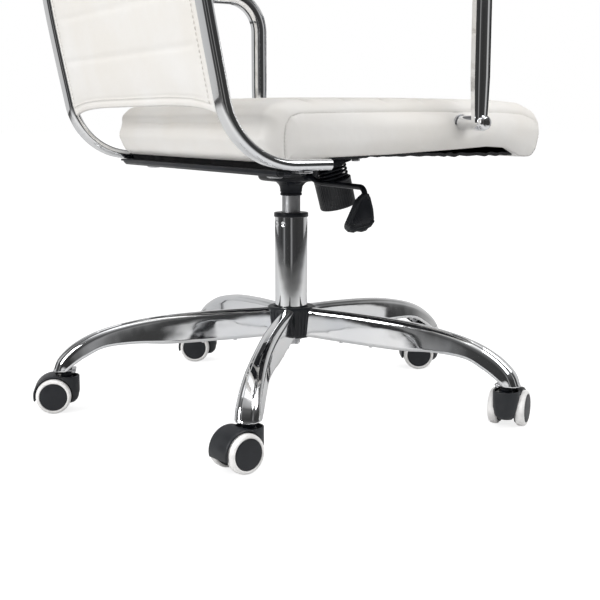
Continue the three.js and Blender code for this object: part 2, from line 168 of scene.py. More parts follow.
def rounded(points, radius, steps=4):
    """A closed flat outline with its corners rounded, each no more than its two sides allow."""
    p = np.asarray(points, float)
    made = []
    for i, corner in enumerate(p):
        r = radius[i] if hasattr(radius, "__len__") else radius
        a, b = p[i - 1] - corner, p[(i + 1) % len(p)] - corner
        la, lb = np.linalg.norm(a), np.linalg.norm(b)
        a, b = a / la, b / lb
        half = math.acos(max(-1, min(1, float(a @ b)))) / 2
        if r <= 0 or half > math.radians(89) or half < math.radians(2):
            made.append(corner)
            continue
        cut = min(r / math.tan(half), la * 0.49, lb * 0.49)
        r = cut * math.tan(half)
        middle = corner + (a + b) / np.linalg.norm(a + b) * (r / math.sin(half))
        start, end = corner + a * cut - middle, corner + b * cut - middle
        sweep_by = math.pi - 2 * half
        for k in range(steps + 1):
            t = k / steps
            made.append(middle + (start * math.sin((1 - t) * sweep_by) + end * math.sin(t * sweep_by))
                        / math.sin(sweep_by))
    return np.array(made)


def rectangle(x, y, corner, steps=4):
    """A rounded rectangle over a range of x and of y."""
    return rounded([(x[0], y[0]), (x[1], y[0]), (x[1], y[1]), (x[0], y[1])], corner, steps)


def inset(outline, by):
    """A closed outline moved inwards by a distance, or by one distance for each point."""
    p = np.asarray(outline, float)
    ahead, behind = unit(np.roll(p, -1, axis=0) - p), unit(p - np.roll(p, 1, axis=0))
    t = unit(ahead + behind)
    turn = np.sum(p[:, 0] * np.roll(p[:, 1], -1) - p[:, 1] * np.roll(p[:, 0], -1))
    inward = np.stack([-t[:, 1], t[:, 0]], axis=1) * (1 if turn > 0 else -1)
    stretch = np.maximum(np.sum(t * ahead, axis=1), 0.5)
    return p + inward * (np.broadcast_to(by, len(p)) / stretch)[:, None]


def loft(rings, caps=True, endless=False):
    """Rings of points joined one to the next, closed with caps or, if endless, back to the first."""
    rings = np.asarray(rings, float)
    count, n = rings.shape[:2]
    faces = []
    for s in range(count if endless else count - 1):
        t = (s + 1) % count
        for i in range(n):
            j = (i + 1) % n
            faces.append((s * n + i, s * n + j, t * n + j, t * n + i))
    if caps and not endless:
        faces += [tuple(range(n))[::-1], tuple((count - 1) * n + i for i in range(n))]
    return rings.reshape(-1, 3), faces


def turned(profile, sides=64):
    """A closed [radius, height] profile turned about Z."""
    p = np.asarray(profile, float)
    angles = np.arange(sides) * 2 * math.pi / sides
    rings = [np.stack([p[:, 0] * math.cos(a), p[:, 0] * math.sin(a), p[:, 1]], axis=1) for a in angles]
    return loft(rings, endless=True)


def prism(outline, low, high, edge=1.0, steps=3):
    """A flat outline raised from low to high along Z, with rounded edges."""
    outline = np.asarray(outline, float)
    rings = []
    levels = [(edge * (1 - math.sin(a)), edge * (1 - math.cos(a)))
              for a in np.linspace(0, math.pi / 2, steps + 1)]
    for by, up in levels:
        rings.append((inset(outline, by), low + up))
    for by, up in reversed(levels):
        rings.append((inset(outline, by), high - up))
    return loft([at_z(flat, z) for flat, z in rings])


def slab(x, y, z, corner=2.0, edge=0.8, steps=4):
    """A plate or block between two corners, with rounded corners in plan and rounded edges."""
    return prism(rectangle(x, y, corner, steps), z[0], z[1], edge)


def bar(line, section, side, scale=None):
    """A section carried along a line of points in space; side is the direction that stays level."""
    p = np.asarray(line, float)
    side = np.asarray(side, float)
    up = unit(np.cross(unit(np.gradient(p, axis=0)), side))
    s = np.asarray(section, float)
    scale = np.ones(len(p)) if scale is None else scale
    rings = [p[i] + np.outer(s[:, 0] * scale[i], side) + np.outer(s[:, 1] * scale[i], up[i])
             for i in range(len(p))]
    return loft(rings)


def stadium(width, thickness, per_end=14):
    """A round-ended bar's section."""
    r = thickness / 2
    a = np.linspace(-math.pi / 2, math.pi / 2, per_end)
    half = np.stack([width / 2 - r + r * np.cos(a), r * np.sin(a)], axis=1)
    return np.vstack([half, -half])


def circle(radius, sides=24):
    a = np.arange(sides) * 2 * math.pi / sides
    return np.stack([radius * np.cos(a), radius * np.sin(a)], axis=1)


def bend(centre, radius, start, end, count):
    """Points of a circular bend, angles in degrees."""
    a = np.radians(np.linspace(start, end, count))
    return np.stack([centre[0] + radius * np.cos(a), centre[1] + radius * np.sin(a)], axis=1)


def facing(origin, axis, across=(1, 0, 0)):
    """The placement whose Z runs along axis from origin."""
    z = Vector(axis).normalized()
    y = z.cross(Vector(across)).normalized()
    x = y.cross(z)
    return Matrix.Translation(origin) @ Matrix((x, y, z)).transposed().to_4x4()


def bolt_head(radius=6.5, height=4.5, washer=9.0):
    """A hexagon head on its washer, pointing up Z."""
    shape = Shape()
    rim = rounded([(0, 0), (washer, 0), (washer, 1.4), (0, 1.4)], [0, 0, 0.6, 0], 2)
    shape.add(turned(rim, 32))
    shape.add(prism(rounded(circle(radius, 6), 0.6, 2), 1.3, height, 0.7, 2))
    shape.add(turned([(0, height - 0.3), (radius * 0.55, height - 0.3), (radius * 0.5, height + 0.3),
                      (0, height + 0.3)], 24))
    return np.concatenate(shape.points), shape.faces


def stitches(points, outward, pitch, length, thick=0.5):
    """A row of thread stitches along a line, each dipping into the surface at its ends."""
    shape = Shape()
    p = np.asarray(points, float)
    o = np.asarray(outward, float)
    at = distances(p)
    for s in np.arange(pitch / 2, at[-1] - pitch / 2, pitch):
        spots = s + np.linspace(-0.5, 0.5, 5) * length
        line = np.stack([np.interp(spots, at, p[:, k]) for k in range(3)], axis=1)
        out = unit(np.array([np.interp(s, at, o[:, k]) for k in range(3)]))
        line = line + np.outer([-0.55, 0.25, 0.4, 0.25, -0.55], out) * thick * 1.6
        side = unit(np.cross(unit(line[-1] - line[0]), out))
        shape.add(bar(line, circle(thick, 6), side, [0.55, 1, 1.1, 1, 0.55]))
    return np.concatenate(shape.points), shape.faces


def lathe(profile, radius=0.6, sides=64, steps=3):
    """A closed [radius, height] profile turned about Z, its corners rounded except on the axis."""
    return turned(rounded(profile, [0 if r <= 0 else radius for r, _ in profile], steps), sides)


def hump(value, centre, width):
    """A smooth bump of height 1."""
    return np.exp(-(((value - centre) / width) ** 2))


def rise(share):
    """The height of a quarter circle of radius 1 at a share of its width."""
    return np.sqrt(1 - (1 - np.clip(share, 0, 1)) ** 2)


def spin(degrees, axis="Z"):
    return Matrix.Rotation(math.radians(degrees), 4, axis)


def two_sided(front, rear):
    """The thin solid between two grids of points with the same rows and columns."""
    nu, nv = front.shape[:2]
    n = nu * nv
    faces = []
    for i in range(nu - 1):
        for j in range(nv - 1):
            a, b, c, d = i * nv + j, (i + 1) * nv + j, (i + 1) * nv + j + 1, i * nv + j + 1
            faces += [(a, b, c, d), (n + d, n + c, n + b, n + a)]
    rim = [i * nv for i in range(nu)] + [(nu - 1) * nv + j for j in range(1, nv)]
    rim += [i * nv + nv - 1 for i in range(nu - 2, -1, -1)] + list(range(nv - 2, 0, -1))
    for a, b in zip(rim, rim[1:] + rim[:1]):
        faces.append((b, a, n + a, n + b))
    return np.vstack([front.reshape(-1, 3), rear.reshape(-1, 3)]), faces


# ---- finishes ----
def finish(name, color, roughness, metallic=0.0, **inputs):
    """A new material and its node tree, shader and object-space coordinates."""
    material = bpy.data.materials.new(name)
    material.use_nodes = True
    tree = material.node_tree
    shader = tree.nodes["Principled BSDF"]
    shader.inputs["Base Color"].default_value = (*color, 1)
    shader.inputs["Roughness"].default_value = roughness
    shader.inputs["Metallic"].default_value = metallic
    for key, value in inputs.items():
        shader.inputs[key.replace("_", " ")].default_value = value
    return material, tree, shader, tree.nodes.new("ShaderNodeTexCoord").outputs["Object"]


def over(tree, coordinates, kind, output, **inputs):
    """A new node's output at the given coordinates."""
    node = tree.nodes.new(kind)
    tree.links.new(coordinates, node.inputs["Vector"])
    for key, value in inputs.items():
        node.inputs[key].default_value = value
    return node.outputs[output]


def noise(tree, coordinates, scale, detail=2.0, rough=0.5, distortion=0.0):
    return over(tree, coordinates, "ShaderNodeTexNoise", "Fac", Scale=scale, Detail=detail,
                Roughness=rough, Distortion=distortion)


def cells(tree, coordinates, scale, feature="DISTANCE_TO_EDGE"):
    distance = over(tree, coordinates, "ShaderNodeTexVoronoi", "Distance", Scale=scale)
    distance.node.feature = feature
    return distance


def stretched(tree, coordinates, scale):
    return over(tree, coordinates, "ShaderNodeMapping", "Vector", Scale=scale)


def ramp(tree, value, *stops):
    """A value spread over stops of (position, number or colour)."""
    node = tree.nodes.new("ShaderNodeValToRGB")
    elements = node.color_ramp.elements
    for i, (at, level) in enumerate(stops):
        element = elements[i] if i < 2 else elements.new(at)
        element.position = at
        element.color = (*level, 1) if hasattr(level, "__len__") else (level, level, level, 1)
    tree.links.new(value, node.inputs["Fac"])
    return node.outputs["Color"]


def vary(tree, shader, key, value, *stops):
    """Lets a value drive one of the shader's inputs."""
    tree.links.new(ramp(tree, value, *stops), shader.inputs[key])


def bump(tree, shader, *layers):
    """Height layers of (value, strength, distance in metres), one over the other."""
    normal = None
    for value, strength, distance in layers:
        node = tree.nodes.new("ShaderNodeBump")
        node.inputs["Strength"].default_value = strength
        node.inputs["Distance"].default_value = distance
        tree.links.new(value, node.inputs["Height"])
        if normal:
            tree.links.new(normal, node.inputs["Normal"])
        normal = node.outputs["Normal"]
    tree.links.new(normal, shader.inputs["Normal"])


def chrome_finish(name, wave):
    """Polished chrome on pressed or bent steel: a slow waviness, faint smears and fine scratches."""
    material, tree, shader, at = finish(name, (0.86, 0.87, 0.89), 0.06, 1.0)
    smears = noise(tree, at, 38, 3, 0.6, 0.4)
    vary(tree, shader, "Roughness", smears, (0.35, 0.045), (0.62, 0.075), (0.8, 0.13))
    tint = noise(tree, at, 11, 2)
    vary(tree, shader, "Base Color", tint, (0.3, (0.83, 0.845, 0.87)), (0.7, (0.9, 0.9, 0.9)))
    slow = noise(tree, at, 24, 1.5)
    fine = noise(tree, stretched(tree, at, (900, 900, 120)), 1.0, 2)
    bump(tree, shader, (slow, wave, 0.004), (fine, 0.05, 0.0001))
    return material


def metal_finish(name, color, rough, grain, scratch=0.12):
    """Zinc-plated or ground steel, with its grain along one axis."""
    material, tree, shader, at = finish(name, color, rough, 1.0)
    lines = noise(tree, stretched(tree, at, grain), 1.0, 3)
    cloud = noise(tree, at, 60, 3)
    vary(tree, shader, "Roughness", lines, (0.3, rough * 0.75), (0.7, rough * 1.3))
    dark = tuple(c * 0.82 for c in color)
    vary(tree, shader, "Base Color", cloud, (0.35, dark), (0.65, color))
    bump(tree, shader, (lines, scratch, 0.0002))
    return material


def paint_finish(name, color, rough):
    """Black powder paint: a fine orange-peel skin with paler dust in it."""
    material, tree, shader, at = finish(name, color, rough, Specular_IOR_Level=0.22)
    skin = noise(tree, at, 900, 2)
    cloud = noise(tree, at, 35, 4, 0.6)
    pale = tuple(c * 2.9 for c in color)
    vary(tree, shader, "Base Color", cloud, (0.4, color), (0.75, pale))
    vary(tree, shader, "Roughness", cloud, (0.3, rough * 0.85), (0.7, rough * 1.25))
    bump(tree, shader, (skin, 0.25, 0.0003))
    return material


def plastic_finish(name, color, rough, texture=0.2):
    """Moulded plastic: a spark-eroded grain, slow shade changes and scuffed patches."""
    material, tree, shader, at = finish(name, color, rough)
    grain = noise(tree, at, 1600, 2)
    cloud = noise(tree, at, 48, 3, 0.6)
    pale = tuple(c * 1.35 + 0.003 for c in color)
    vary(tree, shader, "Base Color", cloud, (0.35, color), (0.7, pale))
    vary(tree, shader, "Roughness", cloud, (0.3, rough * 0.88), (0.7, rough * 1.18))
    bump(tree, shader, (cloud, 0.12, 0.0006), (grain, texture, 0.0002))
    return material


def leather_finish(name, color):
    """Coated leather: pebbled grain, soft creases, and a slightly uneven tone."""
    material, tree, shader, at = finish(name, color, 0.42, Specular_IOR_Level=0.42, Sheen_Weight=0.06,
                                        Sheen_Roughness=0.4)
    pebbles = cells(tree, at, 620)
    creases = noise(tree, at, 130, 4, 0.62, 0.6)
    folds = noise(tree, stretched(tree, at, (14, 22, 26)), 1.0, 2, 0.5, 0.3)
    tone = noise(tree, at, 9, 3)
    warm = (color[0] * 0.965, color[1] * 0.95, color[2] * 0.925)
    vary(tree, shader, "Base Color", tone, (0.35, warm), (0.65, color))
    vary(tree, shader, "Roughness", creases, (0.3, 0.36), (0.7, 0.5))
    grain = ramp(tree, pebbles, (0.0, 0.0), (0.12, 1.0))
    bump(tree, shader, (folds, 0.35, 0.003), (creases, 0.22, 0.0008), (grain, 0.14, 0.0003))
    return material


def cloth_finish(name, color):
    """Thin spun cloth: crossed fibres and dimples."""
    material, tree, shader, at = finish(name, color, 0.9, Sheen_Weight=0.15, Sheen_Roughness=0.5)
    across = noise(tree, stretched(tree, at, (2600, 260, 700)), 1.0, 2)
    along = noise(tree, stretched(tree, at, (260, 2600, 700)), 1.0, 2)
    dimples = cells(tree, at, 420, "F1")
    pale = tuple(c * 2 + 0.01 for c in color)
    vary(tree, shader, "Base Color", across, (0.4, color), (0.8, pale))
    bump(tree, shader, (across, 0.4, 0.0004), (along, 0.4, 0.0004), (dimples, 0.3, 0.0006))
    return material


def wood_finish(name):
    """Plywood faces and edges: long grain with darker lines."""
    material, tree, shader, at = finish(name, (0.5, 0.34, 0.18), 0.65)
    grain = noise(tree, stretched(tree, at, (9, 160, 900)), 1.0, 4, 0.6, 0.8)
    vary(tree, shader, "Base Color", grain, (0.3, (0.36, 0.22, 0.1)), (0.7, (0.6, 0.42, 0.24)))
    bump(tree, shader, (grain, 0.3, 0.0004))
    return material


CHROME_PRESSED = chrome_finish("chrome_pressed", 0.16)
CHROME_TUBE = chrome_finish("chrome_tube", 0.05)
ZINC = metal_finish("zinc", (0.66, 0.665, 0.68), 0.3, (300, 300, 300))
GROUND_STEEL = metal_finish("ground_steel", (0.66, 0.665, 0.68), 0.46, (90, 90, 500), 0.02)
BLACK_STEEL = paint_finish("black_steel", (0.006, 0.0068, 0.009), 0.32)
# painted shade: a near-black paint, darker than the black steel, that stands in for the shade under the
# seat's rear edge
PAINTED_SHADE_BLACK = paint_finish("painted_shade_black", (0.0015, 0.0015, 0.0018), 0.7)
BLACK_PLASTIC = plastic_finish("black_plastic", (0.011, 0.0125, 0.0155), 0.4)
BLACK_GLOSS = plastic_finish("black_gloss_plastic", (0.005, 0.006, 0.009), 0.3, 0.06)
HUB_CAP = plastic_finish("hub_cap_plastic", (0.009, 0.0105, 0.014), 0.42, 0.3)
TREAD = plastic_finish("pale_tread", (0.74, 0.73, 0.72), 0.38, 0.1)
LEATHER = leather_finish("white_leather", (0.83, 0.815, 0.79))
THREAD = leather_finish("white_thread", (0.78, 0.765, 0.74))
DUST_CLOTH = cloth_finish("dust_cloth", (0.016, 0.016, 0.018))
PLYWOOD = wood_finish("plywood")


# ---- camera, light and floor ----
def add_camera():
    """A low, level-headed view from behind the chair's right side."""
    data = bpy.data.cameras.new("camera")
    data.lens, data.sensor_width = 66.26, 36
    data.clip_start, data.clip_end = 0.01, 100
    camera = bpy.data.objects.new("camera", data)
    bpy.context.collection.objects.link(camera)
    camera.location = Vector((-1.4729, 0.8504, 0.4351)) + Vector(COLUMN)
    yaw, pitch = math.radians(0.46), math.radians(9.16)
    flat = math.sin(yaw) * RIGHT + math.cos(yaw) * AWAY
    look = Vector((flat[0] * math.cos(pitch), flat[1] * math.cos(pitch), -math.sin(pitch)))
    camera.rotation_euler = look.to_track_quat("-Z", "Y").to_euler()
    bpy.context.scene.camera = camera


def add_light(name, place, target, width, height, power):
    data = bpy.data.lights.new(name, "AREA")
    data.shape, data.size, data.size_y, data.energy = "RECTANGLE", width, height, power
    light = bpy.data.objects.new(name, data)
    bpy.context.collection.objects.link(light)
    light.location = place
    light.rotation_euler = (Vector(target) - Vector(place)).to_track_quat("-Z", "Y").to_euler()


# the reflected room round the chair: 0.5 is towards the viewer and 0 and 1 are behind the chair
ROOM = ((0.0, 0.62), (0.12, 0.6), (0.19, 0.5), (0.22, 0.08), (0.31, 0.04), (0.34, 0.09), (0.36, 0.28),
        (0.385, 0.05), (0.48, 0.03), (0.505, 0.3), (0.53, 0.05), (0.6, 0.035), (0.76, 0.05),
        (0.8, 0.45), (0.88, 0.6), (1.0, 0.62))
# the reflected sky from straight down to straight up
CEILING = ((0.0, 0.3), (0.62, 0.2), (0.72, 0.1), (0.88, 0.12), (0.93, 0.35), (0.965, 0.5), (0.985, 1.0))


def add_world():
    """A white sweep behind the chair, a dim room on the viewer's side, and tall soft boxes in it."""
    scene = bpy.context.scene
    scene.view_settings.view_transform = "Standard"
    world = bpy.data.worlds.new("studio")
    scene.world = world
    world.use_nodes = True
    tree = world.node_tree
    tree.nodes.clear()
    at = tree.nodes.new("ShaderNodeTexCoord").outputs["Generated"]

    def math_node(kind, a, b):
        node = tree.nodes.new("ShaderNodeMath")
        node.operation = kind
        for socket, value in zip(node.inputs, (a, b)):
            if isinstance(value, (int, float)):
                socket.default_value = value
            else:
                tree.links.new(value, socket)
        return node.outputs[0]

    def along(axis):
        node = tree.nodes.new("ShaderNodeVectorMath")
        node.operation = "DOT_PRODUCT"
        node.inputs[1].default_value = axis
        tree.links.new(at, node.inputs[0])
        return node.outputs["Value"]

    def background(**inputs):
        node = tree.nodes.new("ShaderNodeBackground")
        for key, value in inputs.items():
            node.inputs[key].default_value = value
        return node

    def either(ray, first, second):
        """The first shader, and for this kind of ray the second."""
        node = tree.nodes.new("ShaderNodeMixShader")
        sources = rays.outputs[ray], first.outputs[0], second.outputs[0]
        for source, socket in zip(sources, node.inputs):
            tree.links.new(source, socket)
        return node

    height = along((0, 0, 1))
    turn = math_node("ARCTAN2", along((*RIGHT, 0)), math_node("MULTIPLY", along((*AWAY, 0)), -1))
    around = math_node("ADD", math_node("DIVIDE", turn, 2 * math.pi), 0.5)
    room = ramp(tree, around, *ROOM)
    ceiling = ramp(tree, math_node("ADD", math_node("MULTIPLY", height, 0.5), 0.5), *CEILING)
    mix = tree.nodes.new("ShaderNodeMix")
    mix.data_type = "RGBA"
    tree.links.new(ramp(tree, height, (0.3, 0.0), (0.62, 1.0)), mix.inputs["Factor"])
    tree.links.new(room, mix.inputs["A"])
    tree.links.new(ceiling, mix.inputs["B"])

    rays = tree.nodes.new("ShaderNodeLightPath")
    mirrored = background()
    tree.links.new(mix.outputs["Result"], mirrored.inputs["Color"])
    lighting = either("Is Glossy Ray", background(Color=(1, 1, 1, 1), Strength=0.7), mirrored)
    seen = either("Is Camera Ray", lighting, background(Color=(1, 1, 1, 1)))
    output = tree.nodes.new("ShaderNodeOutputWorld")
    tree.links.new(seen.outputs[0], output.inputs["Surface"])


def add_floor():
    """Two floors: a wide pale one that only the camera sees, glowing like a light table, and one for
    reflections and shadows, which fades out towards the viewer."""
    for name, radius, glow, seen in (("floor", 40, 0.78, True), ("floor_mirrored", 2.5, 0.0, False)):
        paint, tree, shader, at = finish(name, (0.8, 0.8, 0.8), 0.9, Emission_Color=(1, 1, 1, 1),
                                         Emission_Strength=glow)
        if seen:
            tone = ramp(tree, noise(tree, at, 3, 2), (0.3, 0.4), (0.7, 0.416))
        else:
            distance = tree.nodes.new("ShaderNodeVectorMath")
            distance.operation = "LENGTH"
            tree.links.new(at, distance.inputs[0])
            share = tree.nodes.new("ShaderNodeMath")
            share.operation = "DIVIDE"
            share.inputs[1].default_value = radius
            tree.links.new(distance.outputs["Value"], share.inputs[0])
            tone = ramp(tree, share.outputs[0], (0.62, 0.62), (0.72, 0.36), (0.8, 0.12), (0.95, 0.04))
        tree.links.new(tone, shader.inputs["Base Color"])
        mesh = bpy.data.meshes.new(name)
        depth = 0.0002 if seen else 0.0008
        mesh.from_pydata([(x, y, -depth) for x, y in circle(radius, 96)], [], [tuple(range(96))])
        mesh.materials.append(paint)
        floor = bpy.data.objects.new(name, mesh)
        bpy.context.collection.objects.link(floor)
        if not seen:
            floor.location = (COLUMN[0] + AWAY[0] * 0.85, COLUMN[1] + AWAY[1] * 0.85, 0)
        floor.visible_camera = seen
        floor.visible_glossy = floor.visible_diffuse = floor.visible_shadow = not seen


add_camera()
add_world()
add_floor()
add_light("key", (-1.6, -0.9, 2.6), (0, 0, 0.3), 1.8, 1.8, 33)
add_light("fill", (-0.3, 2.6, 1.5), (0, 0, 0.4), 1.0, 1.7, 42)
add_light("top", (0.4, 0.2, 3.0), (0, 0, 0.2), 2.4, 2.4, 12)


# ---- base ----
LEG_CROWN = [(38.9, 150), (110, 147.5), (190, 142), (250, 133), (298, 119.5), (333, 101.5), (355.5, 81),
             (363.4, LEG_TIP_Z + 5.7)]
LEG_EDGE = [(34.9, 107), (105, 103), (187, 100), (238, 102), (286, 98), (315, 85), (334.5, 72.5),
            (343.8, LEG_TIP_Z + 5.7)]
LEG_HALF_WIDTH = [11.5, 12, 13, 13.8, 15, 16.3, 17.2, 16.8]
LEG_SPREAD = [0, 0, 1.6, 4.4, 4.6, 4.6, 4.2, 4.0]  # how much wider the open edge is than the crown
LEG_WALL = 2.2
LEG_ROLL = 4.6


def channel(half, height, corner, crown, spread):
    """A pressed channel's section, open downwards, with rolled lips; [across, up] points. Its walls
    stand apart by half the spread more at the lips, and by half the spread less at the crown."""
    turn = np.linspace(0, math.pi / 2, 9)
    side = [(half - 1.4, 0.3), (half - 0.6, 1.6), (half - 0.15, 3.2), (half, 4.6)]
    side += [(half, h) for h in np.linspace(5.6, height - corner, 5)]
    outside = side + [(half - corner + corner * math.cos(a), height - corner + corner * math.sin(a))
                      for a in turn[1:]]
    top = [(x, height + crown * (1 - (x / half) ** 2)) for x in np.linspace(half - corner, 0, 5)[1:]]
    inner, small = half - LEG_WALL, max(corner - LEG_WALL, 0.5)
    roof = height - LEG_WALL
    inside = [(inner, h) for h in np.linspace(1.2, roof - small, 8)]
    inside += [(inner - small + small * math.cos(a), roof - small + small * math.sin(a))
               for a in turn[1:]]
    inside += [(x, roof + crown * (1 - (x / half) ** 2)) for x in np.linspace(inner - small, 0, 5)[1:]]
    right = outside + top
    left = [(-x, y) for x, y in right[:-1]][::-1]
    lip = [(-half + 1.8, 0.0)]
    under_left = [(-x, y) for x, y in inside[:-1]]
    under_right = inside[::-1]
    section = np.array(right + left + lip + under_left + under_right + [(half - 1.8, 0.0)])
    section[:, 0] *= 1 + spread / half * (0.5 - np.maximum(section[:, 1], 3) / height)
    return section


def leg_frames(count):
    crown, edge = spline(LEG_CROWN, count), spline(LEG_EDGE, count)
    half, spread = spline(np.column_stack([LEG_HALF_WIDTH, LEG_SPREAD]), count).T
    up = crown - edge
    height = np.linalg.norm(up, axis=1)
    return edge, up / height[:, None], height, half, spread


def stood(section, e, u):
    """A leg's flat section on its edge point e, upright along u."""
    return np.column_stack([e[0] + u[0] * section[:, 1], section[:, 0], e[1] + u[1] * section[:, 1]])


def leg_part():
    """One leg along X: the pressed channel, its closing strip, welds, and the castor's socket. The
    channel stops a little above the hood, where its rim is rolled in."""
    shape = Shape()
    edge, up, height, half, spread = leg_frames(71)
    start = edge[0] - 7 * unit(edge[1] - edge[0])
    down = unit(edge[-1] - edge[-2])
    frames = [(start, up[0], height[0], half[0], 0)] + list(zip(edge, up, height, half, spread))
    for turn in np.radians([14, 28, 42, 56, 70]):
        rolled = LEG_ROLL * (1 - math.cos(turn))
        frames.append((edge[-1] + down * LEG_ROLL * math.sin(turn), up[-1], height[-1] - rolled,
                       half[-1] - rolled, spread[-1]))
    rings = []
    for e, u, h, w, apart in frames:
        flare = math.exp(-((e[0] - 33) / 9) ** 2)
        outer = min(max((e[0] - 240) / 90, 0), 1)
        corner = min(w, h) * (0.62 - 0.12 * outer)
        section = channel(w + 1.2 * flare, h + 0.4 * flare, corner, 0.9 + 1.2 * outer, apart)
        rings.append(stood(section, e, u))
    shape.add(loft(rings))
    floor_rings = []
    for e, u, _, w, _ in frames[:46]:
        x = w - LEG_WALL - 0.15
        floor_rings.append(stood(rectangle((-x, x), (1.6, 3.4), 0.5, 2), e, u))
    shape.add(loft(floor_rings), 1)
    for i, side in ((8, 1), (8, -1), (14, 1), (14, -1), (44, 0)):
        spot = (edge[i, 0], side * (half[i] - 4), edge[i, 1] + 1.8)
        shape.add(lathe([(0, 0), (3.6, 0), (2.6, 3.6), (0, 4.2)], 0.8, 20, 3), 0,
                  facing(spot, (0, 0, -1)))
    socket = [(5.8, LEG_TIP_Z - 0.6), (8.8, LEG_TIP_Z - 0.6), (8.8, 72), (7, 74), (5.8, 74)]
    shape.add(lathe(socket, 0.6, 36), 2, Matrix.Translation((STEM_CIRCLE_R, 0, 0)))
    shape.add(slab((STEM_CIRCLE_R - 15, STEM_CIRCLE_R + 11), (-13.2, 13.2),
                   (LEG_TIP_Z + 4, LEG_TIP_Z + 6.4), 3), 1)
    for side in (-1, 1):
        shape.add(bolt_head(3.1, 3.0, 4.2), 1,
                  facing((STEM_CIRCLE_R - 10.5, side * 8.2, LEG_TIP_Z + 4), (0, 0, -1)))
    return shape


def hub_part():
    """The ring that the legs meet: tapered, ribbed between the legs, with a collar top and bottom."""
    shape = Shape()
    shape.add(lathe([(25.2, 105.5), (32.8, 105.5), (34.2, 107.5), (35.4, 120), (38, 146), (38, 150.5),
                     (35, 152.6), (25.2, 152.6)], 1.6, 90, 4))
    for yaw in LEG_YAWS:
        for offset in (27, 36, 45):
            rib = prism(rounded([(32, 108.5), (35.2, 108.5), (36.6, 122), (38.9, 144), (38.4, 149.5),
                                 (32, 149.5)], 1.2), -1.2, 1.2, 0.7)
            shape.add(rib, 0, spin(yaw + offset) @ spin(90, "X"))
        bead = rounded([(0, 0), (3.4, 0), (0, 4.6)], 1.2, 4)
        sections = []
        for k, a in enumerate(np.radians(np.linspace(yaw - 22, yaw + 22, 13))):
            outward, up = np.array([math.cos(a), math.sin(a), 0]), np.array([0, 0, 1])
            swell = 0.35 + 0.65 * math.sin(math.pi * k / 12)
            sections.append([outward * (25.8 + out * swell) + up * (151.8 + high * swell)
                             for out, high in bead])
        shape.add(loft(sections))
    return shape


def clip_part():
    """The spring clip under the column: a flanged, lobed cup."""
    shape = Shape()
    shape.add(lathe([(5.4, 93.2), (10.6, 93.2), (11.8, 94.4), (11.8, 99.6), (16.6, 100.4),
                     (17.6, 101.4), (17.6, 104.4), (5.4, 104.4)], 0.6, 72))
    for k in range(6):
        shape.add(slab((9, 14), (-2.8, 2.8), (92.8, 99.4), 1.6, 0.6), 0,
                  spin((k + 0.3) * 60))
    return shape


def boolean(base, operation, *others):
    """The mesh left when the others are joined to, or cut from, the base; all as (points, faces)."""
    made = []
    for part in (base, *others):
        mesh = bpy.data.meshes.new("solid")
        mesh.from_pydata(np.asarray(part[0], float).tolist(), [], part[1])
        tidy(mesh, 180)
        solid = bpy.data.objects.new("solid", mesh)
        bpy.context.collection.objects.link(solid)
        made.append(solid)
    for other in made[1:]:
        cut = made[0].modifiers.new("cut", "BOOLEAN")
        cut.operation, cut.object, cut.solver = operation, other, "EXACT"
    bpy.context.view_layer.update()
    graph = bpy.context.evaluated_depsgraph_get()
    result = bpy.data.meshes.new_from_object(made[0].evaluated_get(graph))
    part = (np.array([v.co for v in result.vertices]), [tuple(p.vertices) for p in result.polygons])
    for solid in made:
        bpy.data.objects.remove(solid)
    return part


def axle_line(part):
    """A part turned about Z, laid with its axis along the castor's axle."""
    place = Matrix.Translation((TRAIL, 0, AXLE_Z)) @ spin(-90, "X")
    points = np.asarray(part[0], float) @ np.array(place)[:3, :3].T + np.array(place)[:3, 3]
    return points, part[1]


def hood_part():
    """The castor's hood: an arch over both wheels that runs into the stem's neck and its skirt."""
    arch = axle_line(lathe([(0, -20.5), (30.4, -20.5), (30.4, 20.5), (0, 20.5)], 3.2, 120, 6))
    neck_line = rounded([(0, 12.8), (11, 12.8), (16.6, 18.5), (19.5, 31), (19.5, 54.4), (0, 54.4)],
                        [0, 5, 9, 12, 0.9, 0], 6)
    neck = turned(neck_line, 96)
    far, across, deep = 60, (-40, 40), -20  # well outside the hood
    below = slab((-far, TRAIL + far), across, (deep, AXLE_Z - 6.8), 1, 0.2)
    ahead = slab((-far, 4), across, (deep, 49), 0.5, 0.2)
    shell = boolean(boolean(arch, "DIFFERENCE", below, ahead), "UNION", neck)
    in_front = slab((TRAIL - far, TRAIL - 7.9), across, (deep, 12.4), 1, 0.2)
    behind = slab((TRAIL - 8, TRAIL + far), across, (deep, AXLE_Z - 6.8), 1, 0.2)
    rooms = []
    for side in (-1, 1):
        y = sorted((side * 8.7, side * 40))
        rooms.append(axle_line(lathe([(0, y[0]), (28, y[0]), (28, y[1]), (0, y[1])], 0.8, 120, 2)))
    mouth = turned(rounded([(9.2, 47), (17, 47), (17.7, 60), (17.7, 70), (0, 70), (0, 53), (9.2, 53)],
                           [0.8, 2, 0, 0, 0, 0, 0.8], 3), 72)
    return boolean(shell, "DIFFERENCE", behind, in_front, *rooms, mouth)


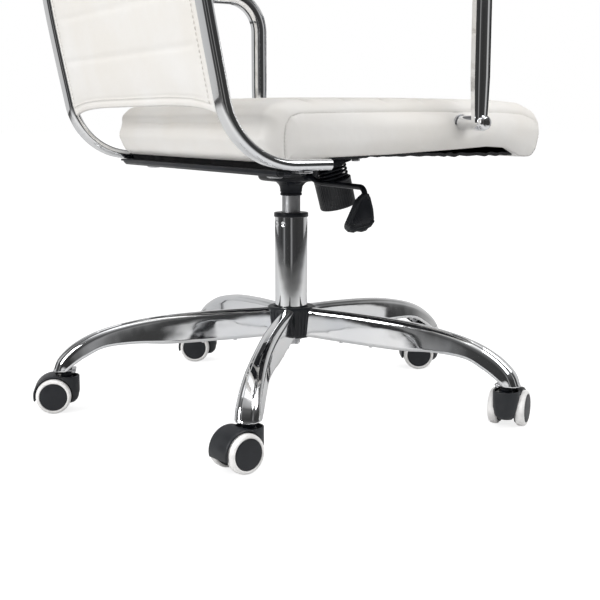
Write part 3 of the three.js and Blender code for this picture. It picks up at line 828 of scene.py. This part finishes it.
def wheel_part():
    """One wheel about the castor's axle line: a soft pale tread, a black hub, and its domed cap."""
    shape = Shape()
    tread = [(20.6, 13.4), (24.2, 13.4), (25.7, 14.6), (WHEEL_R, 16.2), (WHEEL_R, 21), (25.7, 24),
             (24.4, 26), (22.6, 27), (20.9, 26.8), (20.6, 25.6)]
    shape.add(lathe(tread, 1.2, 96, 4))
    shape.add(lathe([(4.4, 9.9), (7, 9.9), (7, 11.2), (22.6, 11.2), (22.6, 13.8), (20.8, 15),
                     (20.8, 25), (4.4, 25)], 0.5, 72), 1)
    cap = [(0, 24.6), (20.3, 24.6), (20.5, 26.3), (19.9, 27.1), (17.6, 27.3), (10, 27.7), (0, 27.9)]
    shape.add(lathe(cap, 0.7, 96, 3), 2)
    for k in range(6):
        rib = slab((7.5, 20), (-0.7, 0.7), (10.3, 12), 0.4, 0.3, 2)
        shape.add(rib, 1, spin(k * 60))
    return shape


def moved(shape, place):
    """A copy of a shape at another place."""
    copy = Shape()
    copy.finishes, copy.faces, copy.count = list(shape.finishes), list(shape.faces), shape.count
    m = np.array(place)
    copy.points = [points @ m[:3, :3].T + m[:3, 3] for points in shape.points]
    return copy


def add_base():
    leg, wheel, hood = leg_part(), wheel_part(), Shape().add(hood_part())
    stem = Shape().add(lathe([(0, 38), (5.5, 38), (5.5, 77), (4.6, 78.4), (0, 78.4)], 0.5, 36))
    # the two collars are black steel, partly as dark washers and partly as painted shade under the
    # leg's tip
    stem.add(lathe([(5.2, 52.9), (8.4, 52.9), (8.4, 58.1), (5.2, 58.1)], 0.5, 36), 1)
    stem.add(lathe([(5.2, 44.6), (9.6, 44.6), (9.6, 47), (5.2, 47)], 0.4, 36), 1)
    for i, (leg_yaw, castor_yaw) in enumerate(zip(LEG_YAWS, CASTOR_YAWS), 1):
        turn = spin(leg_yaw)
        make(f"pressed_leg_{i}", moved(leg, turn), [CHROME_PRESSED, ZINC, BLACK_STEEL], "base",
             [f"leg_{i}"])
        tip = Matrix.Translation(turn @ Vector((STEM_CIRCLE_R, 0, 0)))
        castor = tip @ spin(castor_yaw)
        make(f"castor_stem_pin_{i}", moved(stem, castor), [ZINC, BLACK_STEEL], f"castor_{i}",
             [f"castor_stem_{i}"])
        make(f"castor_hood_shell_{i}", moved(hood, castor), [BLACK_PLASTIC], f"castor_{i}",
             [f"castor_hood_{i}"])
        axle = castor @ Matrix.Translation((TRAIL, 0, AXLE_Z))
        for side, quarter in (("a", -90), ("b", 90)):
            make(f"twin_wheel_{i}{side}", moved(wheel, axle @ spin(quarter, "X")),
                 [TREAD, BLACK_PLASTIC, HUB_CAP], f"wheel_{i}{side}", [f"castor_wheel_{i}{side}"])
    make("hub_ring", hub_part(), [BLACK_PLASTIC], "base", ["base_hub"])
    make("retaining_clip", clip_part(), [ZINC], "spindle", ["bottom_clip"])


# ---- gas lift ----
DIMPLE_ANGLE = math.atan2(-AWAY[1], -AWAY[0]) - math.radians(61)


def column_part():
    """The outer tube: drawn steel with rolled ends and two pairs of punched dimples."""
    wall = [(25, z) for z in np.concatenate([np.linspace(106, 270, 12), np.linspace(272, 290, 28)])]
    outside = [(8, 104), (23.6, 104), (25, 105.4)] + wall + [(25, 292.4), (24.2, 293.5)]
    profile = np.array(outside + [(23.4, 293), (23.4, 290), (23.4, 107), (8, 107)])
    points, faces = turned(profile, 144)
    radius = np.hypot(points[:, 0], points[:, 1])
    angle = np.arctan2(points[:, 1], points[:, 0])
    for turn in (0, 0.55, math.pi, math.pi + 0.55):
        off = (angle - DIMPLE_ANGLE - turn + math.pi) % (2 * math.pi) - math.pi
        spread = (off * 25 / 2.3) ** 2 + ((points[:, 2] - 281) / 2.3) ** 2
        depth = 1.1 * np.exp(-spread) * (radius > 24.5)
        points[:, :2] *= (1 - depth / np.maximum(radius, 1))[:, None]
    return Shape().add((points, faces))


def add_lift():
    make("outer_column", column_part(), [CHROME_TUBE], "base", ["column_tube"])
    bush = [(14.3, 218), (23, 218), (23, 292.4), (25.3, 291.2), (26.4, 291.6), (26.4, 297.2),
            (25.4, 298), (20, 298.6), (15.4, 298.6), (14.3, 297.4)]
    make("column_bush", Shape().add(lathe(bush, 0.6, 96)), [BLACK_GLOSS], "base", ["guide_bush"])
    cylinder = [(0, 334), (12.4, 334), (12.4, 350), (14, 350), (14, 118.6), (13.2, 118), (0, 118)]
    make("inner_cylinder", Shape().add(lathe(cylinder, 0.4, 96)), [GROUND_STEEL], "lift",
         ["gas_cylinder"])


add_base()
add_lift()


# ---- tilt mechanism ----
# the leaning tension bolt's placement, and one that raises a flat [y, z] outline along X
BOLT = Matrix.Translation(KNOB_AT) @ Matrix.Rotation(-KNOB_LEAN, 4, "X")
ACROSS = Matrix(((0, 0, 1, 0), (1, 0, 0, 0), (0, 1, 0, 0), (0, 0, 0, 1)))


def pan_rings(x, y, levels):
    """Rounded rectangles at the given (height, inset) levels."""
    plan = rectangle(x, y, 24, 9)
    return [at_z(inset(plan, by), z) for z, by in levels]


def housing_part():
    """The pressed pan with its collar, webs, ears for the tilt pin, and the tongue over the spring."""
    shape = Shape()
    outer = [(346, 9), (346.6, 5.5), (348.2, 2.6), (351, 0.9), (355, 0), (369.6, -0.2), (370.4, -1.2),
             (371.4, -1.4), (372, -0.8)]
    inner = [(372, 1.6), (370, 2.6), (356, 3), (351.5, 4), (349.6, 7), (349, 11)]
    shape.add(loft(pan_rings((-44, 44), (-33, 44), outer + inner)))
    collar = [(14.4, 324), (16.6, 324), (16.6, 327.6), (15.7, 328.3), (15.7, 329), (16.9, 329.8),
              (16.9, 333), (17.6, 337), (19.2, 341), (22.5, 344.4), (28, 346.6), (28, 348), (14.4, 348)]
    shape.add(lathe(collar, 0.9, 96, 4))
    for k in range(4):
        web = prism(rounded([(16, 336), (23, 343.5), (33, 347.2), (16, 347.2)], 1.0), -1.2, 1.2, 0.5)
        shape.add(web, 0, spin(45 + 90 * k) @ spin(90, "X"))
    shape.add(slab((-30, 30), (-27, 37), (46.5, 49.5), 8, 0.9, 6), 0, BOLT)
    for side in (-1, 1):
        shape.add(prism(rounded([(-26, 49), (36, 49), (36, 58), (4, 56)], 2), side * 29 - 1.5,
                        side * 29 + 1.5, 0.5), 0, BOLT @ ACROSS)
        shape.add(lathe([(0, 0), (5.4, 0), (5.2, 1.6), (3.6, 2.8), (0, 3.2)], 0.7, 24), 0,
                  facing((side * 31, 6, 346.4), (0, 0, -1)))
        ear = rectangle((7, 33), (358, 371.5), 4)
        shape.add(prism(ear, side * 45, side * 48.5, 0.4), 0, ACROSS)
    return shape


def spring_part():
    """A coil of round wire with its last turns closed, round a rubber sleeve, in the bolt's frame."""
    turns, steps, wire, radius = 10.2, 34, 2.0, 24.6
    low, high = -5.2, 45.4
    a = np.linspace(0, turns * 2 * math.pi, int(turns * steps))
    share = a / a[-1]
    eased = np.clip((share - 0.08) / 0.84, 0, 1)
    z = low + wire * 0.2 + (high - low - wire * 0.4) * (0.06 * share + 0.94 * eased)
    line = np.column_stack([radius * np.cos(a), radius * np.sin(a), z])
    outward = at_z(np.column_stack([np.cos(a), np.sin(a)]), 0)
    up = np.cross(unit(np.gradient(line, axis=0)), outward)
    section = circle(wire, 12)
    rings = [line[i] + np.outer(section[:, 0], outward[i]) + np.outer(section[:, 1], up[i])
             for i in range(len(a))]
    shape = Shape().add(loft(rings), 0, BOLT)
    return shape.add(lathe([(15.4, -6.2), (18.6, -6.2), (18.6, 45.8), (15.4, 45.8)], 0.6, 64), 0, BOLT)


def knob_part():
    """The tension knob: a fluted cup whose floor carries the bolt's nut."""
    sides, flutes = 384, 48
    angle = np.arange(sides) * 2 * math.pi / sides
    ridge = np.clip(np.cos(angle * flutes) * 1.6, -1, 1) * 0.5 + 0.5
    levels = [(-22.5, 25.4, 0), (-22.2, 27.3, 0), (-21.2, 28.3, 0.2), (-19.5, 28.6, 1), (17.6, 29.0, 1),
              (19.2, 29.1, 0.2), (19.6, 29.3, 0), (22, 29.3, 0), (22.5, 28.9, 0), (22.5, 27.5, 0),
              (22, 27.1, 0), (-6.4, 27.1, 0), (-7, 26.5, 0)]
    rings = []
    for z, radius, depth in levels:
        r = radius - 0.5 * depth * (1 - ridge)
        rings.append(at_z(np.column_stack([r * np.cos(angle), r * np.sin(angle)]), z))
    shape = Shape().add(loft(rings), 0, BOLT)
    shape.add(lathe([(0, -23.1), (8, -23.1), (9.5, -22.4), (0, -22.4)], 0.4, 48), 0, BOLT)
    for radius in (13, 21):
        ring = rectangle((radius - 0.7, radius + 0.7), (-22.9, -22), 0.3, 3)
        shape.add(turned(ring, 64), 0, BOLT)
    return shape


def lever_parts():
    """The bent rod and the paddle moulded on its end."""
    corner = bend((-184, 333.4), 12, 90, 180, 14)
    flat = [(-29, 354), (-46, 354), (-51, 353.2), (-56, 351.5), (-68, 348), (-84, 346.2), (-110, 346.1),
            (-150, 345.8)]
    line = np.vstack([flat, corner, [(-196, 329), (-196, 325)]])
    points = np.column_stack([line[:, 0], np.full(len(line), -5.0), line[:, 1]])
    rod = Shape().add(bar(even(points, 110), circle(4, 28), (0, 1, 0)))
    paddle = Shape()
    outline = [(-10.5, 334), (0, 335.5), (8.5, 328.5), (26, 295), (24, 288.5), (18.5, 284), (11, 286.2),
               (5, 284.4), (-3, 286), (-7, 289.6), (-11, 291), (-17, 298), (-17.6, 303), (-16, 316)]
    paddle.add(prism(rounded(outline, 3.2, 5), -202, -190, 1.8, 5), 0, ACROSS)
    raised = rounded([(-8.5, 330), (0, 331), (6, 325.5), (20.5, 297), (15, 293.5), (-8, 297),
                      (-13.6, 303), (-13, 315)], 3, 5)
    for low, high in ((-203, -200), (-191, -189)):
        paddle.add(prism(raised, low, high, 0.9, 3), 1, ACROSS)
    band = rounded([(26, 296), (24, 288.5), (18.5, 284), (11, 286.2), (5, 284.4), (-3, 286),
                    (-7, 289.6), (-11, 291), (-17, 298), (-16.4, 301.5), (-8, 293.8),
                    (15, 290.2)], 1.6, 4)
    paddle.add(prism(band, -203.8, -188.4, 1.4, 4), 0, ACROSS)
    sleeve = lathe([(4.2, 0), (6.6, 0), (6.2, 7), (5.4, 9), (4.2, 9)], 0.8, 36)
    paddle.add(sleeve, 0, Matrix.Translation((-196, -5, 328)))
    return rod, paddle


def add_mechanism():
    make("tilt_housing", housing_part(), [BLACK_STEEL], "lift", ["mech_housing"])
    pin = Shape().add(lathe([(0, -57), (5, -57), (5, 57), (0, 57)], 0.8, 36), 0,
                      facing((0, PIVOT_Y, PIVOT_Z), (1, 0, 0), (0, 1, 0)))
    make("tilt_pin", pin, [ZINC], "lift", ["tilt_axle"])
    spring = make("coil_spring", spring_part(), [BLACK_STEEL], "lift", ["tension_spring"])
    spring.parent = None
    spring.matrix_world = Matrix.Identity(4)
    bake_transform(spring)
    bolt = Shape().add(lathe([(0, -17.8), (4.5, -17.8), (4.5, 51), (0, 51)], 0.3, 32), 0, BOLT)
    bolt.add(bolt_head(8.2, 5.6, 11), 0, BOLT @ Matrix.Translation((0, 0, 49.9)))
    make("tension_screw", bolt, [ZINC], "seat", ["tension_bolt"])
    make("fluted_knob", knob_part(), [BLACK_GLOSS], "tension_knob", ["tension_knob"], crease=50)
    rod, paddle = lever_parts()
    make("lever_bar", rod, [BLACK_STEEL], "lever", ["lever_rod"])
    make("lever_handle", paddle, [BLACK_PLASTIC, BLACK_GLOSS], "lever", ["lever_paddle"])


# ---- under the seat ----
def plate_part():
    """The seat plate with its two ears for the tilt pin, and its bolts."""
    shape = Shape()
    shape.add(slab((-75, 75), (-98, 110), (381, 385), 16, 1.0, 8))
    for side in (-1, 1):
        shape.add(slab((side * 66 - 4, side * 66 + 4), (-80, 92), (379.6, 382), 3.8, 0.9, 6))
        outline = rounded([(0, 361), (9, 358.6), (33, 357.4), (34, 372), (31, 382), (13, 382),
                           (11, 369.5), (1, 366)], 2.4, 5)
        shape.add(prism(outline, side * 53 - 1.5, side * 53 + 1.5, 0.5), 1, ACROSS)
        for y in (-80, 92):
            shape.add(bolt_head(6.4, 5, 9), 1, facing((side * 58, y, 381.2), (0, 0, -1)))
    return shape


def crossbar_part():
    """A folded steel channel with plugged ends, and the two bolts that hold it under the seat."""
    shape = Shape()
    outline = rounded([(130, 369.5), (134, 366), (166, 366), (170, 369.5), (170, 374.6), (130, 374.6)],
                      2.2, 5)
    shape.add(prism(outline, -258, 258, 0.8), 0, ACROSS)
    # painted shade: a near-black strip over the bar's upper half, standing in for the shade that the
    # seat's rear edge casts there
    flange = rounded([(146, 372), (166, 372), (166, 375.4), (157.4, 375.4), (157.4, 385), (153, 385),
                      (153, 375.4), (146, 375.4)], 1.2)
    shape.add(prism(flange, -250, 246, 0.5), 3, ACROSS)
    groove = rectangle((142, 158), (365.2, 366.6), 0.6)
    for x in ((-180, 180), (-246, -216), (216, 246)):
        shape.add(prism(groove, *x, 0.5), 0, ACROSS)
    for side in (-1, 1):
        x = sorted((side * 256.5, side * 259.6))
        shape.add(prism(inset(outline, 1.2), *x, 0.9), 1, ACROSS)
        reach = 167 if side > 0 else 149
        tab = rounded([(side * 250, 128), (side * 281, 130), (side * 284, 136), (side * 284, reach - 5),
                       (side * 279, reach), (side * 250, reach)], 4, 5)
        shape.add(prism(tab, 371.4, 374.6, 0.7), 0 if side > 0 else 2)
        dome = lathe([(0, 0), (11.5, 0), (11.2, 1.6), (8, 3), (0, 3.5)], 1.0, 40, 4)
        shape.add(dome, 2, facing((177 if side > 0 else -219.5, 150, 366.2), (0, 0, -1)))
        for y in (139, 161):
            screw = lathe([(0, 0), (4.6, 0), (4.4, 1.6), (2.8, 2.6), (0, 2.8)], 0.6, 24, 3)
            shape.add(screw, 0, facing((side * 270, y, 371.6), (0, 0, -1)))
    return shape


def dust_cover_mesh():
    """Thin cloth stapled under the board, its edge gathered into small puckers."""
    half_x, half_y, turn_up = 246, 196, 4.8
    flat_x, flat_y = half_x - turn_up, half_y - turn_up
    u, v = np.meshgrid(np.linspace(-1, 1, 150), np.linspace(-1, 1, 120), indexing="ij")
    x, y = np.clip(half_x * u, -flat_x, flat_x), -40 + np.clip(half_y * v, -flat_y, flat_y)
    fold = np.clip(np.maximum(half_x * np.abs(u) - flat_x, half_y * np.abs(v) - flat_y) / turn_up, 0, 1)
    from_side, from_end = (1 - np.abs(u)) * 237, (1 - np.abs(v)) * 189
    edge, along = np.minimum(from_side, from_end), np.where(from_side < from_end, y, x)
    near = np.exp(-((edge / 26) ** 2))
    pucker = np.sin(along / 3.6 + 1.3 * np.sin(along / 17)) * (0.6 + 0.4 * np.sin(along / 11))
    gathered = 0.8 + 0.8 * np.clip((-y - 60) / 60, 0, 1)
    z = 389.6 - near * gathered * (1.2 + pucker) - 1.1 * (1 - near) * np.cos(u * 5) * np.cos(v * 4)
    z += (12.8 + 1.2 * pucker) * fold
    z -= (6.5 + 1.6 * np.sin(x / 15 + np.sin(x / 31))) * hump(y, 138, 9) * np.clip(edge / 6, 0, 1)
    return two_sided(np.stack([x, y, z + 0.5], axis=2), np.stack([x, y, z], axis=2))


def add_underside():
    make("mounting_plate", plate_part(), [BLACK_STEEL, ZINC], "seat", ["seat_plate"])
    make("cross_member", crossbar_part(), [BLACK_STEEL, BLACK_PLASTIC, ZINC, PAINTED_SHADE_BLACK], "seat",
         ["crossbar"])
    cover = make("dust_cloth", Shape().add(dust_cover_mesh()), [DUST_CLOTH], "seat", ["dust_cover"], 60)


# ---- rails, braces and armrests ----
BEND_AT, BEND_R, BEND_END = (154, 482), 100, 78  # the bend's centre [y, z], radius, and angle


def on_bend(angle):
    """The point of the rails' bend where they have turned up by this angle."""
    a = math.radians(angle)
    return BEND_AT[0] + BEND_R * math.sin(a), BEND_AT[1] - BEND_R * math.cos(a)


def back_line(count):
    """The side rails' middle line up the back, as [y, z]."""
    return spline([on_bend(BEND_END), (279, 600), (301, 740), (331, 880), (368, 1010), (390, 1075)],
                  count)


def rail_part(x):
    """A side rail from under the seat up the back, with a plug in each end."""
    corner = bend(BEND_AT, BEND_R, -90, BEND_END - 90, 40)
    points = at_x(x, even(np.vstack([[(104.0, 382.0)], corner, back_line(120)[1:]]), 190))
    shape = Shape().add(bar(points, stadium(30, 14, 16), (1, 0, 0)))
    plug = stadium(27, 11, 12)
    shape.add(prism(plug, 0, 2.2, 0.8), 1, facing((x, 104.4, 382), (0, -1, 0)))
    shape.add(prism(plug, -1, 2.4, 1.0), 1, facing(points[-1], points[-1] - points[-2]))
    return shape


def brace_part(t):
    """A flat bar across the back, following the rails' lean, with a screw at each end."""
    line = back_line(401)
    p, q = line[int(t * 400) - 1], line[int(t * 400) + 1]
    at, lean = (p + q) / 2, unit(q - p)
    place = Matrix(((1, 0, 0, 0), (0, lean[1], lean[0], at[0]), (0, -lean[0], lean[1], at[1]),
                    (0, 0, 0, 1)))
    upright = place @ Matrix(((1, 0, 0, 0), (0, 0, 1, 0), (0, 1, 0, 0), (0, 0, 0, 1)))
    shape = Shape().add(prism(rectangle((-282, 282), (-17, 17), 12, 8), 7.7, 12.6, 1.4, 4), 0, upright)
    shape.add(prism(rectangle((-240, 240), (-7, 7), 6.5, 8), 12.2, 13.8, 0.8), 0, upright)
    for side in (-1, 1):
        spot = place @ Vector((side * 268, 12.5, 0))
        shape.add(lathe([(0, 0), (6.5, 0), (6.2, 1.8), (4, 3.2), (0, 3.4)], 0.9, 32, 4), 1,
                  facing(spot, place.to_3x3() @ Vector((0, 1, 0))))
    return shape


def out_of_seat(sign):
    """The armrest stub's axis, with the origin on the seat's side."""
    return facing((sign * 256.9, STUB_Y, STUB_Z), (sign, 0, 0), (0, 1, 0))


def arm_part(sign):
    """An armrest tube with its stub, domed end, rear lug and end plug, and the pad's two bolts."""
    x = sign * ARM_X
    corner = bend((-52, 592), 60, 180, 90, 26)
    line = np.vstack([[(-112.0, STUB_Z), (-112.0, 560)], corner, [(120.0, 652.0), (290.0, 652.0)]])
    points = at_x(x, even(line, 120))
    narrow = np.interp(np.arange(len(points)), [0, 5, 12], [0.8, 0.9, 1])
    shape = Shape().add(bar(points, stadium(17, 26, 14), (1, 0, 0), narrow))
    shape.add(lathe([(0, 42.6), (10.6, 42.6), (10.6, 58.4), (0, 58.4)], 3, 56, 5), 0, out_of_seat(sign))
    shape.add(lathe([(10.1, 7), (11.8, 7), (11.6, 10.4), (10.1, 11)], 0.6, 56, 3), 2, out_of_seat(sign))
    reach = [(0, 0), (10, 0), (10, 58), (9.3, 61.5), (7, 64.2), (3.6, 65.4), (0, 65.7)]
    shape.add(lathe(reach, 1.5, 56, 5), 0, out_of_seat(sign))
    inward = facing((sign * 287.3, 286, 652), (sign, 0, 0), (0, 1, 0))
    shape.add(lathe([(0, 0), (8, 0), (8, 23.8), (0, 23.8)], 1.2, 40, 4), 0, inward)
    shape.add(lathe([(8, 0), (12.5, 0), (12.5, 2.4), (8, 3)], 0.8, 40, 3), 0, inward)
    shape.add(prism(rectangle((-13, 13), (-8.5, 8.5), 7.5, 8), 0, 2.6, 1.0), 1,
              facing((x, 290, 652), (0, 1, 0), (0, 0, 1)))
    for y in (-20, 160):
        shape.add(bolt_head(5, 4, 8), 2, facing((x, y, 643.7), (0, 0, -1)))
    return shape


def add_frame():
    for side, sign in (("right", -1), ("left", 1)):
        make(f"side_rail_{side}", rail_part(sign * RAIL_X), [CHROME_TUBE, BLACK_GLOSS], "seat",
             [f"rail_{side}"])
        make(f"arm_loop_{side}", arm_part(sign), [CHROME_TUBE, BLACK_GLOSS, ZINC], "seat",
             [f"arm_tube_{side}"])
    for name, t in (("lower", 0.32), ("upper", 0.82)):
        make(f"cross_brace_{name}", brace_part(t), [CHROME_TUBE, ZINC], "seat", [f"back_brace_{name}"])


add_mechanism()
add_underside()
add_frame()


# ---- cushions ----
SEAT_OUTLINE = [(160, 382.6), (175, 391), (181, 413), (178, 443), (163, 457), (144, 462.5), (60, 465),
                (-60, 466), (-200, 465), (-238, 462), (-261, 453), (-270, 440), (-271, 422),
                (-266, 398), (-257, 385), (-238, 385.5), (-205, 402), (-170, 404.5), (-110, 400),
                (0, 393), (100, 389.6)]
SEAT_EDGE = 24  # how far in from the side panel the top starts to round over


def seat_outline():
    """The seat's side profile, from the middle of its rear face over the top, round the front and back
    underneath, with as many points below as above."""
    p = even(rounded(SEAT_OUTLINE, 13, 5), 600, closed=True)
    p = np.roll(p, -int(np.argmin(np.hypot(p[:, 0] - 180, p[:, 1] - 420))), axis=0)
    front = int(np.argmin(np.hypot(p[:, 0] + 271, p[:, 1] - 420)))
    above, below = even(p[:front + 1], 150), even(np.vstack([p[front:], p[:1]]), 150)
    p = np.vstack([above[:-1], below[:-1]])
    rear = np.clip((p[:, 0] - 120) / 40, 0, 1)
    p[:, 0] += rear * (3.5 * hump(p[:, 1], 449, 10) + 4 * hump(p[:, 1], 414, 15))
    return p


def seat_ring(outline, e, x):
    """The outline drawn in by a share e of the full rounding, as points at the station x."""
    y, z = outline[:, 0].copy(), outline[:, 1].copy()
    seam = np.where(y > 144, np.interp(z, [389, 428, 443, 457, 463], [157, 157, 156, 149, 134]),
                    np.where(y > 0, y * 0.925, y * (1 - 7 / 270)))
    y += (seam - y) * e
    z = 390 + (z - 390) * (1 - 0.225 * e)
    top = np.clip((outline[:, 1] - 452) / 10, 0, 1) * (1 - e)
    inner = np.clip((SEAT_HALF - abs(x)) / 40, 0, 1)
    groove = hump((outline[:, 0] + 212) % 60, 30, 4.2) * (np.abs(outline[:, 0] + 40) < 175)
    puckers = np.sin(x / 5.1 + 2 * np.sin(x / 33) + outline[:, 0] / 25) * 0.5
    z += top * inner * (5 - 4.5 * (x / SEAT_HALF) ** 2 - groove * (8.5 + puckers))
    back_face = np.clip((outline[:, 0] - 150) / 20, 0, 1)
    y += back_face * (0.7 * np.sin(x / 47 + 0.8) + 0.45 * np.sin(x / 19 + outline[:, 1] / 9))
    crease = 5 * hump(z, 433, 5) * np.clip((SEAT_HALF - abs(x) - 26) / 60, 0, 1)
    y += back_face * (1 - e) * (2.5 - 2.5 * (x / SEAT_HALF) ** 2 - crease)
    return at_x(x, np.column_stack([y, z]))


def seat_panel(edge, side):
    """The side panel's rings, from its seam inwards: full, drawn in where the armrest enters."""
    partner = edge[-np.arange(len(edge)) % len(edge)]
    middle = np.column_stack([np.clip((edge[:, 0] + partner[:, 0]) / 2, -236, 126),
                              np.full(len(edge), 420.0)])
    rings = []
    along = np.cumsum(np.linalg.norm(np.diff(edge, axis=0, prepend=edge[-1:]), axis=1))
    for f in (0.004, 0.012, 0.03, 0.06, 0.1, 0.15, 0.21, 0.28,
              0.36, 0.45, 0.54, 0.63, 0.72, 0.82, 0.91, 1):
        p = edge + (middle - edge) * f
        near = np.sqrt(((p[:, None, :] - edge[None, ::2, :]) ** 2).sum(axis=2)).min(axis=1)
        share = np.clip(near / 22, 0, 1)
        full = share * (2 - share)
        belly = np.clip(1 - ((p[:, 1] - 419) / 32) ** 2, 0, 1)
        out = 5.5 * full + 10 * belly * hump(p[:, 0], -95, 110)
        r = np.hypot(p[:, 0] - STUB_Y, p[:, 1] - STUB_Z)
        out += 4 * hump(r, 32, 18) * full - 5 * hump(r, 0, 15)
        out += 0.3 * np.sin(along / 8 + 1.6 * np.sin(along / 31)) * np.exp(-near / 9) * full * (1 - f)
        out += 0.9 * full * np.sin(p[:, 0] / 38 + p[:, 1] / 21) * hump(p[:, 1], 425, 26)
        out -= 1.5 * np.exp(-((near / 1.6) ** 2))
        rings.append(np.column_stack([side * (SEAT_HALF + out), p]))
    return rings


def seat_cushion_shape():
    """The seat: lengthwise rings between its two side panels, and a row of stitches along each edge."""
    outline = seat_outline()
    turn = np.radians([90, 86, 80, 72, 62, 51, 39, 27, 15, 6])
    stations = [(SEAT_HALF - SEAT_EDGE + SEAT_EDGE * math.sin(a), 1 - math.cos(a)) for a in turn]
    across = [(x, 0.0) for x in np.linspace(SEAT_HALF - SEAT_EDGE - 8, -SEAT_HALF + SEAT_EDGE + 8, 56)]
    stations += across + [(-x, e) for x, e in stations[::-1]]
    rings = [seat_ring(outline, e, x) for x, e in stations]
    left = seat_panel(rings[0][:, 1:], 1)
    right = seat_panel(rings[-1][:, 1:], -1)
    shape = Shape().add(loft(left[::-1] + rings + right, caps=False))
    seam = seat_ring(outline, 0.9, SEAT_HALF - 5)[:, 1:]
    keep = even(seam[np.r_[-9:0, 0:160]], 400)
    for side in (-1, 1):
        points = at_x(side * (SEAT_HALF - 4.2), keep)
        outward = at_x(side * 30, unit(keep - (-45, 426)) * 12)
        shape.add(stitches(points, outward, 6.4, 4.2), 1)
    return shape


def back_shape():
    """The back: a quilted panel in a flat stitched hem, following the rails."""
    line = even(np.vstack([[on_bend(BEND_END - 10)], back_line(160)]), 400)
    at = distances(line)
    tangent = unit(np.gradient(line, at, axis=0))
    length = at[-1]

    def lower_edge(x):
        return 12 * (1 - np.abs(x / BACK_HALF) ** 5)

    def place(x, s, off):
        y, z = np.interp(s, at, line[:, 0]), np.interp(s, at, line[:, 1])
        ty, tz = np.interp(s, at, tangent[:, 0]), np.interp(s, at, tangent[:, 1])
        return np.stack([x, y - tz * off, z + ty * off], axis=-1)

    t = np.linspace(0, 1, 250)
    rows = length * (0.55 * t + 0.45 * (0.5 - 0.5 * np.cos(math.pi * t)))
    u = np.linspace(-1, 1, 110)
    cols = BACK_HALF * (0.45 * u + 0.55 * np.sin(u * math.pi / 2))
    x, s = np.meshgrid(cols, rows, indexing="ij")
    start = lower_edge(x)
    d = np.minimum(BACK_HALF - np.abs(x), np.minimum(s, length - s))
    s = start + (length - start) * s / length
    rim = rise(d / 3.5)
    body = np.sin(np.clip((d - 10) / 36, 0, 1) * math.pi / 2) ** 0.9
    seam = 1.5 * hump(d, 10, 1.4) + 0.9 * hump(d, 15.5, 0.9)
    rib = hump((s + 11) % 64, 32, 4.6) * np.clip((d - 14) / 16, 0, 1)
    pucker = 0.5 * np.sin(x / 6.3 + 1.7 * np.sin(x / 41)) * hump((s + 11) % 64, 32, 11) * body
    pucker += 0.35 * np.sin((s + x * 0.2) / 6.1) * hump(d, 22, 9)
    front = -0.5 + 3.4 * rim + 22.5 * body - 6.5 * rib + pucker - 1.3 * seam
    rear = -0.5 - 3.0 * rim - 2.2 * body + 1.0 * rib - 0.3 * pucker + 0.9 * seam
    shape = Shape().add(two_sided(place(x, s, front), place(x, s, rear)))
    hem = 12.8
    up = np.linspace(hem, length - hem, 220)
    across = np.linspace(-BACK_HALF + hem, BACK_HALF - hem, 160)
    runs = [(np.full(220, side * (BACK_HALF - hem)), up) for side in (-1, 1)]
    runs += [(across, np.full(160, length - hem)), (across, hem + lower_edge(across))]
    for run in runs:
        for off in (5.6, -4.3):
            spots, beyond = place(*run, off), place(*run, off * 2)
            shape.add(stitches(spots, beyond - spots, 6.8, 4.4), 1)
    return shape


def pad_shape(sign):
    """An armrest pad: a small stuffed cushion with a piped seam round its foot."""
    outline = even(rounded([(-25, 0), (25, 0), (24.4, 11), (17, 17), (-17, 17), (-24.4, 11)],
                           [4, 4, 6, 14, 14, 6], 6), 90, closed=True)
    middle, reach, foot = 70, 134, 660.9

    def narrow(end):
        return 0.12 + 0.88 * rise(end / 22)

    rings = []
    for a in np.linspace(-1, 1, 81):
        off = reach * math.copysign(1 - (1 - abs(a)) ** 1.7, a)
        y, end = middle + off, reach - abs(off)
        wave = 1 + 0.012 * math.sin(y / 11) * (end < 60)
        high = (0.3 + 0.7 * rise(end / 15)) * (1 + 0.07 * math.cos(off / reach * 1.5))
        rings.append(np.column_stack([outline[:, 0] * narrow(end) * wave, np.full(len(outline), y),
                                      foot + outline[:, 1] * high]))
    shape = Shape().add(loft(rings), 0, Matrix.Translation((sign * ARM_X, 0, 0)))
    ends = np.r_[np.linspace(0, 22, 12), np.linspace(30, reach, 14)]
    side = [(25.2 * narrow(end), middle + reach - end) for end in ends]
    half = side + [(x, 2 * middle - y) for x, y in side[::-1][1:]]
    loop = half + [(-x, y) for x, y in half[::-1]]
    line = even([(x + sign * ARM_X, y, foot + 4.5) for x, y in loop], 260, closed=True)
    rings = []
    for k, p in enumerate(line):
        t = line[(k + 1) % len(line)] - line[k - 1]
        out = np.array([t[1], -t[0], 0]) / math.hypot(t[0], t[1])
        rings.append([p + out * a + np.array([0, 0, b]) for a, b in circle(1.5, 10)])
    shape.add(loft(rings, endless=True))
    return shape


def add_cushions():
    seat = make("quilted_seat", seat_cushion_shape(), [LEATHER, THREAD], "seat", ["seat_cushion"], 60)
    back = make("quilted_back", back_shape(), [LEATHER, THREAD], "seat", ["back_cushion"], 60)
    for side, sign in (("right", -1), ("left", 1)):
        pad = make(f"padded_armrest_{side}", pad_shape(sign), [LEATHER], "seat", [f"arm_pad_{side}"],
                   60)


add_cushions()

# ---- the CAD parts that stay, and their finishes ----
for node, surface in {"thrust_bearing": ZINC, "piston_rod": GROUND_STEEL, "release_button": ZINC,
                      "lever_rocker": BLACK_STEEL, "seat_board": PLYWOOD,
                      **{f"castor_axle_{i}": ZINC for i in range(1, 6)}}.items():
    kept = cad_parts[node]
    kept.data.materials.clear()
    kept.data.materials.append(surface)
